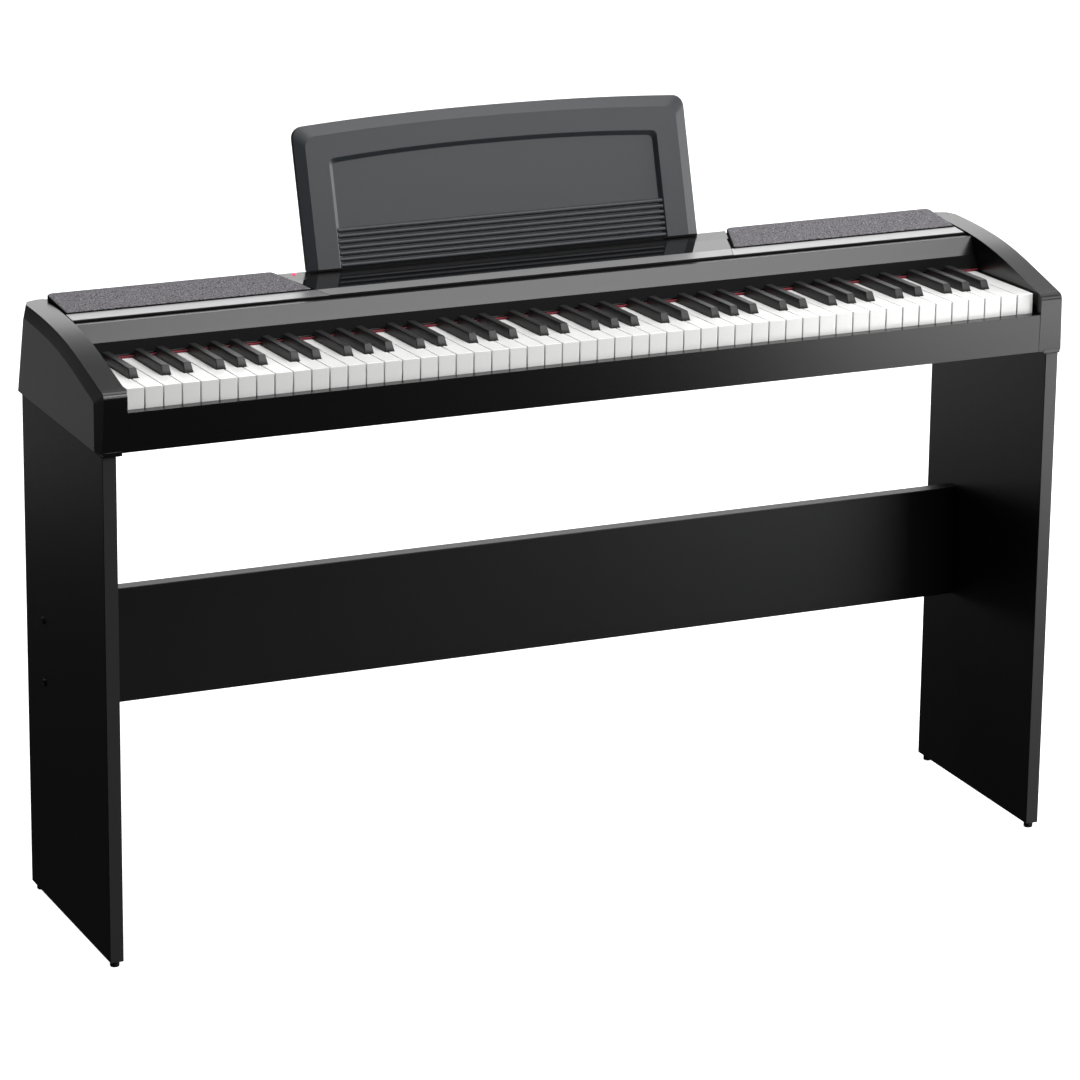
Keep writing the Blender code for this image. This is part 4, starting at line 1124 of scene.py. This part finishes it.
# A thin near-black strip at the rest's foot: a painted shadow of the slot's gap.
foot_shadow_back = -0.0042
foot_z = rest_foot(foot_shadow_back)
foot_shadow_low = (-FOOT_SHADOW_HALF, -REST_FRONT - 0.0003, foot_z)
foot_shadow = cuboid(foot_shadow_low, (FOOT_SHADOW_HALF, foot_shadow_back, foot_z + 0.0026), 0.0003)
piece("music_rest_board", [sheet], "rest_plastic", "music_rest", ["music_rest"], bevel=0.0006, angle=8)
piece("music_rest_foot_shadow", [(leaned(foot_shadow[0]), foot_shadow[1])], "shadow_black", "music_rest")
piece("music_rest_ribs", [rib(i) for i in range(RIBS)], "rest_plastic", "music_rest")
piece("music_rest_tongue", [(leaned(tongue[0]), tongue[1])], "rest_plastic", "music_rest")
print("points of the music rest:", len(sheet[0]))

# %% [markdown]
# ## Stand
#
# Two boards stand on small round feet, and a third one joins them at the back. The front edge
# of each side board has a band glued on, a little paler than the foil.

# %% Stand
BOARD_OUTER_X = CHEEK_INNER_X + 0.0304
BOARD_INNER_X = BOARD_OUTER_X - 0.0175
BOARD_FRONT_Y, BOARD_REAR_Y = -0.0095, 0.2924
BOARD_ROUND = 0.0010
FOOT_HEIGHT = 0.008
FOOT_PLACES = ((0.000, "front"), (0.280, "rear"))
FOOT_PROFILE = [(0.0044, 0.0), (0.0054, 0.0004), (0.0060, 0.0014), (0.0060, FOOT_HEIGHT - GAP)]
BAND_MARGIN = 0.0004
for side, name in SIDES:
    low = (BOARD_INNER_X, BOARD_FRONT_Y, FOOT_HEIGHT)
    plank = cuboid(low, (BOARD_OUTER_X, BOARD_REAR_Y, BOARD_TOP_Z), BOARD_ROUND, 3)
    piece(f"{name}_side_board_edged", [mirrored(plank, side)], "stand_board",
          stands_for=[f"{name}_side_board"])
    for y, place in FOOT_PLACES:
        foot = turned(FOOT_PROFILE, (side * (BOARD_INNER_X + BOARD_OUTER_X) / 2, y, 0.0))
        piece(f"{name}_{place}_foot_turned", [foot], "foot_plastic",
              stands_for=[f"{name}_{place}_foot"])
    low = (BOARD_INNER_X + BAND_MARGIN, BOARD_FRONT_Y - 0.0003, FOOT_HEIGHT + BAND_MARGIN)
    high = (BOARD_OUTER_X - BAND_MARGIN, BOARD_FRONT_Y + 0.0002, BOARD_TOP_Z - BAND_MARGIN)
    piece(f"{name}_edge_band", [mirrored(cuboid(low, high, 0.0002), side)], "edge_band")

BACK_LOW = (-BOARD_INNER_X + GAP, 0.2139, 0.2603)
BACK_HIGH = (BOARD_INNER_X - GAP, 0.2332, 0.4095)
back = cuboid(BACK_LOW, BACK_HIGH, BOARD_ROUND, 3)
piece("back_board_edged", [back], "stand_board", stands_for=["back_board"])
print("width between the side boards:", round(2 * BOARD_INNER_X, 4), "m")

# %% [markdown]
# Two screws go through each side board into the end of the back board. Their heads are low
# domes with a hollow in the middle for the tool.

# %% Screws
SCREW_Y, SCREW_HEIGHTS = 0.2236, (0.377, 0.296)
SCREW_HEAD = [
    (0.0052, -0.0004), (0.0052, 0.0006), (0.0050, 0.0013), (0.0042, 0.0019), (0.0030, 0.0022),
    (0.0021, 0.0022), (0.0019, 0.0010), (0.0002, 0.0008),
]
for side, name in SIDES:
    heads = []
    for z in SCREW_HEIGHTS:
        head = turned(SCREW_HEAD, (BOARD_OUTER_X, SCREW_Y, z), "x", 24)
        heads.append(mirrored(head, side))
    piece(f"{name}_screws", heads, "screw_black")
print("pieces:", len(piece_names))

# %% [markdown]
# ## Lamp and buttons
#
# The lamp is a small red lens on the ledge: a flange below the deck, a neck, and a dome whose
# outline is a flat ellipse. The buttons sit at the player's left in the rear wall, within reach
# over the top. Each has a flange inside the wall that keeps it in its hole.

# %% Lamp and buttons
LAMP_X, LAMP_Y = -0.2886, 0.283
LENS_RADIUS, LENS_HEIGHT = 0.0025, 0.00125
CONTROL_Z = 0.735
inner_wall = rear(CONTROL_Z) - CASE_WALL
lens_low = seat(LAMP_Y) - CASE_WALL
flange = [(0.004, lens_low - 0.0025), (0.004, lens_low - 0.0006), (LENS_RADIUS, lens_low - 0.0006)]
turn = np.radians(np.linspace(0, 80, 6))
dome_z = deck(LAMP_Y) + GAP + LENS_HEIGHT * np.sin(turn)
dome = np.column_stack([LENS_RADIUS * np.cos(turn), dome_z])
lens = turned(np.concatenate([flange, dome]), (LAMP_X, LAMP_Y, 0.0))
piece("power_lamp_lens", [lens], "lamp_red", stands_for=["power_lamp"])

BUTTON = [
    (0.0065, -0.0022), (0.0065, -0.0011), (0.0045, -0.0011), (0.0045, 0.0052),
    (0.0042, 0.0058), (0.0036, 0.0060), (0.0012, 0.0058),
]
for node, x in (("power_button", -0.285), ("function_button", -0.255)):
    button = turned(BUTTON, (x, inner_wall, CONTROL_Z), "y")
    piece(f"{node}_turned", [button], "black_satin", node, [node])
print("rear wall's inner face at Y =", round(inner_wall, 4))

# %% [markdown]
# ## Volume knob and sockets
#
# The knob is a turned piece whose radius waves with the angle along its grip, which gives the
# ridges, and a pale line on its face shows how far it is turned. Each socket has a threaded ring
# around it, a closed profile carried round, so it needs no lids.

# %% Knob and sockets
KNOB_X = -0.222
GRIP_RADIUS, RIDGE = 0.0079, 0.00018
RIDGES, KNOB_SIDES = 24, 144
SOCKET_PLACES, SOCKET_Z = (-0.045, -0.015, 0.015, 0.045), 0.679


def knob():
    """The volume knob: the radius of its grip is less a ridge times (1 + cos 24 a) / 2."""
    profile = np.array([
        (0.0030, -0.0034), (0.0030, 0.0042), (0.0078, 0.0042), (0.0080, 0.0048),
        (0.0079, 0.0126), (0.0074, 0.0133), (0.0060, 0.0135), (0.0010, 0.0134),
    ])
    angle = np.linspace(0, 2 * math.pi, KNOB_SIDES, endpoint=False)
    ridge = np.where(np.abs(profile[:, 0] - GRIP_RADIUS) < 0.0002, RIDGE, 0.0)[:, None]
    radius = profile[:, :1] - ridge * (0.5 + 0.5 * np.cos(RIDGES * angle))
    u, v = radius * np.cos(angle), radius * np.sin(angle)
    along = np.repeat(profile[:, 1:], KNOB_SIDES, axis=1)
    return skin(np.stack([u, along, v], -1) + np.array([KNOB_X, inner_wall, CONTROL_Z]))


mark_low = (KNOB_X - 0.0004, inner_wall + 0.0130, CONTROL_Z + 0.0026)
mark_high = (KNOB_X + 0.0004, inner_wall + 0.0137, CONTROL_Z + 0.0068)
mark = cuboid(mark_low, mark_high, 0.0002, 1)
piece("volume_knob_turned", [knob()], "black_satin", "volume_knob", ["volume_knob"])
piece("volume_knob_mark", [mark], "white_key", "volume_knob")

face = rear(SOCKET_Z) + 0.0011
nut = [
    (0.0035, face - 0.001), (0.0052, face - 0.001), (0.0052, face + 0.0008),
    (0.0048, face + 0.0012), (0.0037, face + 0.0012), (0.0035, face + 0.0010),
]
for number, x in enumerate(SOCKET_PLACES):
    ring = turned(nut + nut[:1], (x, 0.0, SOCKET_Z), "y", 24, lids=(False, False))
    piece(f"socket_ring_{number + 1}", [ring], "chassis_steel")
print("pieces:", len(piece_names))

# %% [markdown]
# ## Solids that show as they are
#
# The boards, the speakers and the key chassis inside the case keep their solids. Each of them
# gets the finish that the record names for it.

# %% Finishes of the solids
for node, obj in frame["nodes"].items():
    slot = next(part["material_slot"] for part in frame["record"]["subparts"] if part["node"] == node)
    for place in obj.material_slots:
        place.material = finishes[slot]
print("solids with a finish:", len(frame["nodes"]))

# %% [markdown]
# ## Floor, light and camera
#
# The piano stands in a pale studio, as in a photograph that has been cut out from its
# background: the floor and the sky are white for the camera, and give hardly any light.

# %% Floor
FLOOR_HALF = 30
corners = [(-1, -1, 0), (1, -1, 0), (1, 1, 0), (-1, 1, 0)]
floor_mesh = bpy.data.meshes.new("floor")
floor_mesh.from_pydata((np.array(corners, dtype=float) * FLOOR_HALF).tolist(), [], [(0, 1, 2, 3)])
floor = bpy.data.objects.new("floor", floor_mesh)
bpy.context.scene.collection.objects.link(floor)
Finish("floor_paper", (0.5, 0.5, 0.5), 0.9, specular_ior_level=0.0,
       emission_color=(1, 1, 1, 1), emission_strength=1.0)
floor_mesh.materials.append(finishes["floor_paper"])
floor.visible_glossy = False
floor.visible_diffuse = False
print("floor:", 2 * FLOOR_HALF, "m wide")

# %% [markdown]
# Soft lights do the rest, and black plastic shows each of them as a sheen. One in front, high to
# the right, makes the grey of the board behind the keys. Two more hang overhead and above the
# player. Two screens behind brighten the tops, and a low light brightens the front rail towards
# its right end. Two cards near the floor behind the piano give the side panels and the right
# board their dull shine. Two more cards brighten the back and the left side, which other views
# show, and the light at the right is for the music rest's bevel.

# %% Light
def soft_light(name, place, aim, size, power):
    """A rectangular soft light that points at a place."""
    lamp = bpy.data.lights.new(name, "AREA")
    lamp.shape = "RECTANGLE"
    lamp.size, lamp.size_y = size
    lamp.energy = power
    obj = bpy.data.objects.new(name, lamp)
    bpy.context.scene.collection.objects.link(obj)
    forward = np.array(aim, dtype=float) - np.array(place, dtype=float)
    forward /= np.linalg.norm(forward)
    right = np.cross(forward, (0.0, 0.0, 1.0))
    right /= np.linalg.norm(right)
    up = np.cross(right, forward)
    matrix = np.eye(4)
    matrix[:3] = np.column_stack([right, up, -forward, place])
    obj.matrix_world = Matrix(matrix.tolist())
    obj.visible_camera = False


soft_light("front_light", (1.75, -3.75, 2.75), (0.0, 0.0, 0.75), (2.6, 1.1), 62)
soft_light("top_light", (0.2, 0.4, 4.2), (0.2, 0.0, 0.0), (5.0, 3.0), 140)
soft_light("high_front", (1.5, -3.0, 4.5), (0.0, 0.0, 0.8), (2.4, 1.2), 108)
soft_light("back_screen", (2.0, 4.4, 2.25), (0.1, 0.0, 0.75), (5.0, 1.7), 54)
soft_light("rear_right", (2.6, 3.8, 3.7), (0.4, 0.0, 0.75), (3.8, 1.8), 18)
soft_light("low_light", (1.55, -1.35, 0.42), (0.4, 0.0, 0.6), (1.2, 0.75), 12)
soft_light("left_card", (-0.75, 1.6, 0.31), (-0.3, 0.1, 0.55), (1.8, 0.42), 0.6)
soft_light("right_card", (-0.1, 1.5, 0.17), (0.63, 0.13, 0.40), (0.9, 0.34), 0.5)
soft_light("rear_card", (1.15, 1.65, 0.34), (0.15, 0.25, 0.62), (2.3, 0.6), 5)
soft_light("left_front_card", (-1.6, -1.15, 0.30), (-0.5, 0.1, 0.60), (1.4, 0.5), 1.0)
soft_light("right_side", (4.2, -0.6, 1.3), (0.5, 0.1, 0.7), (2.0, 1.6), 190)
print("lights:", len(bpy.data.lights))

# %% [markdown]
# The sky is white where the camera sees it, and gives only a fortieth of that as light. A Light
# Path node tells the two apart, and a Map Range node turns its answer into a strength.

# %% Sky
world = bpy.data.worlds.new("studio")
bpy.context.scene.world = world
world.use_nodes = True
nodes, links = world.node_tree.nodes, world.node_tree.links
sky = nodes["Background"]
sky.inputs["Color"].default_value = (1, 1, 1, 1)
path = nodes.new("ShaderNodeLightPath")
strength = nodes.new("ShaderNodeMapRange")
strength.inputs["To Min"].default_value = 0.025
strength.inputs["To Max"].default_value = 1.0
links.new(path.outputs["Is Camera Ray"], strength.inputs["Value"])
links.new(strength.outputs["Result"], sky.inputs["Strength"])
bpy.context.scene.view_settings.view_transform = "Standard"
print("sky nodes:", len(nodes))

# %% [markdown]
# The camera stands at the player's left, above the keys, and looks down by 17 degrees. Its
# place and its narrow angle come from matching the piano's known corners with the picture. The
# focal length is in pixels of a picture 1080 pixels wide.

# %% Camera
CAMERA_AT = (-2.47097, -5.35859 + SHIFT_Y, 2.31629)
PITCH, ROLL, YAW = -0.3033, -0.0114, -0.4206
FOCAL, PICTURE = 4977.63, 1080
SENSOR = 36.0


def turn_about(axis, angle):
    """The matrix of a turn about one axis."""
    c, s = math.cos(angle), math.sin(angle)
    a, b = [(1, 2), (2, 0), (0, 1)][axis]
    matrix = np.eye(3)
    matrix[a, a], matrix[a, b], matrix[b, a], matrix[b, b] = c, -s, s, c
    return matrix


view = turn_about(2, YAW) @ turn_about(0, PITCH) @ turn_about(1, ROLL)
optics = bpy.data.cameras.new("camera")
optics.sensor_width = SENSOR
optics.lens = FOCAL / PICTURE * SENSOR
camera = bpy.data.objects.new("camera", optics)
bpy.context.scene.collection.objects.link(camera)
placing = np.eye(4)
placing[:3] = np.column_stack([view[:, 0], view[:, 2], -view[:, 1], CAMERA_AT])
camera.matrix_world = Matrix(placing.tolist())
bpy.context.scene.camera = camera
print("camera lens:", round(optics.lens, 2), "mm")
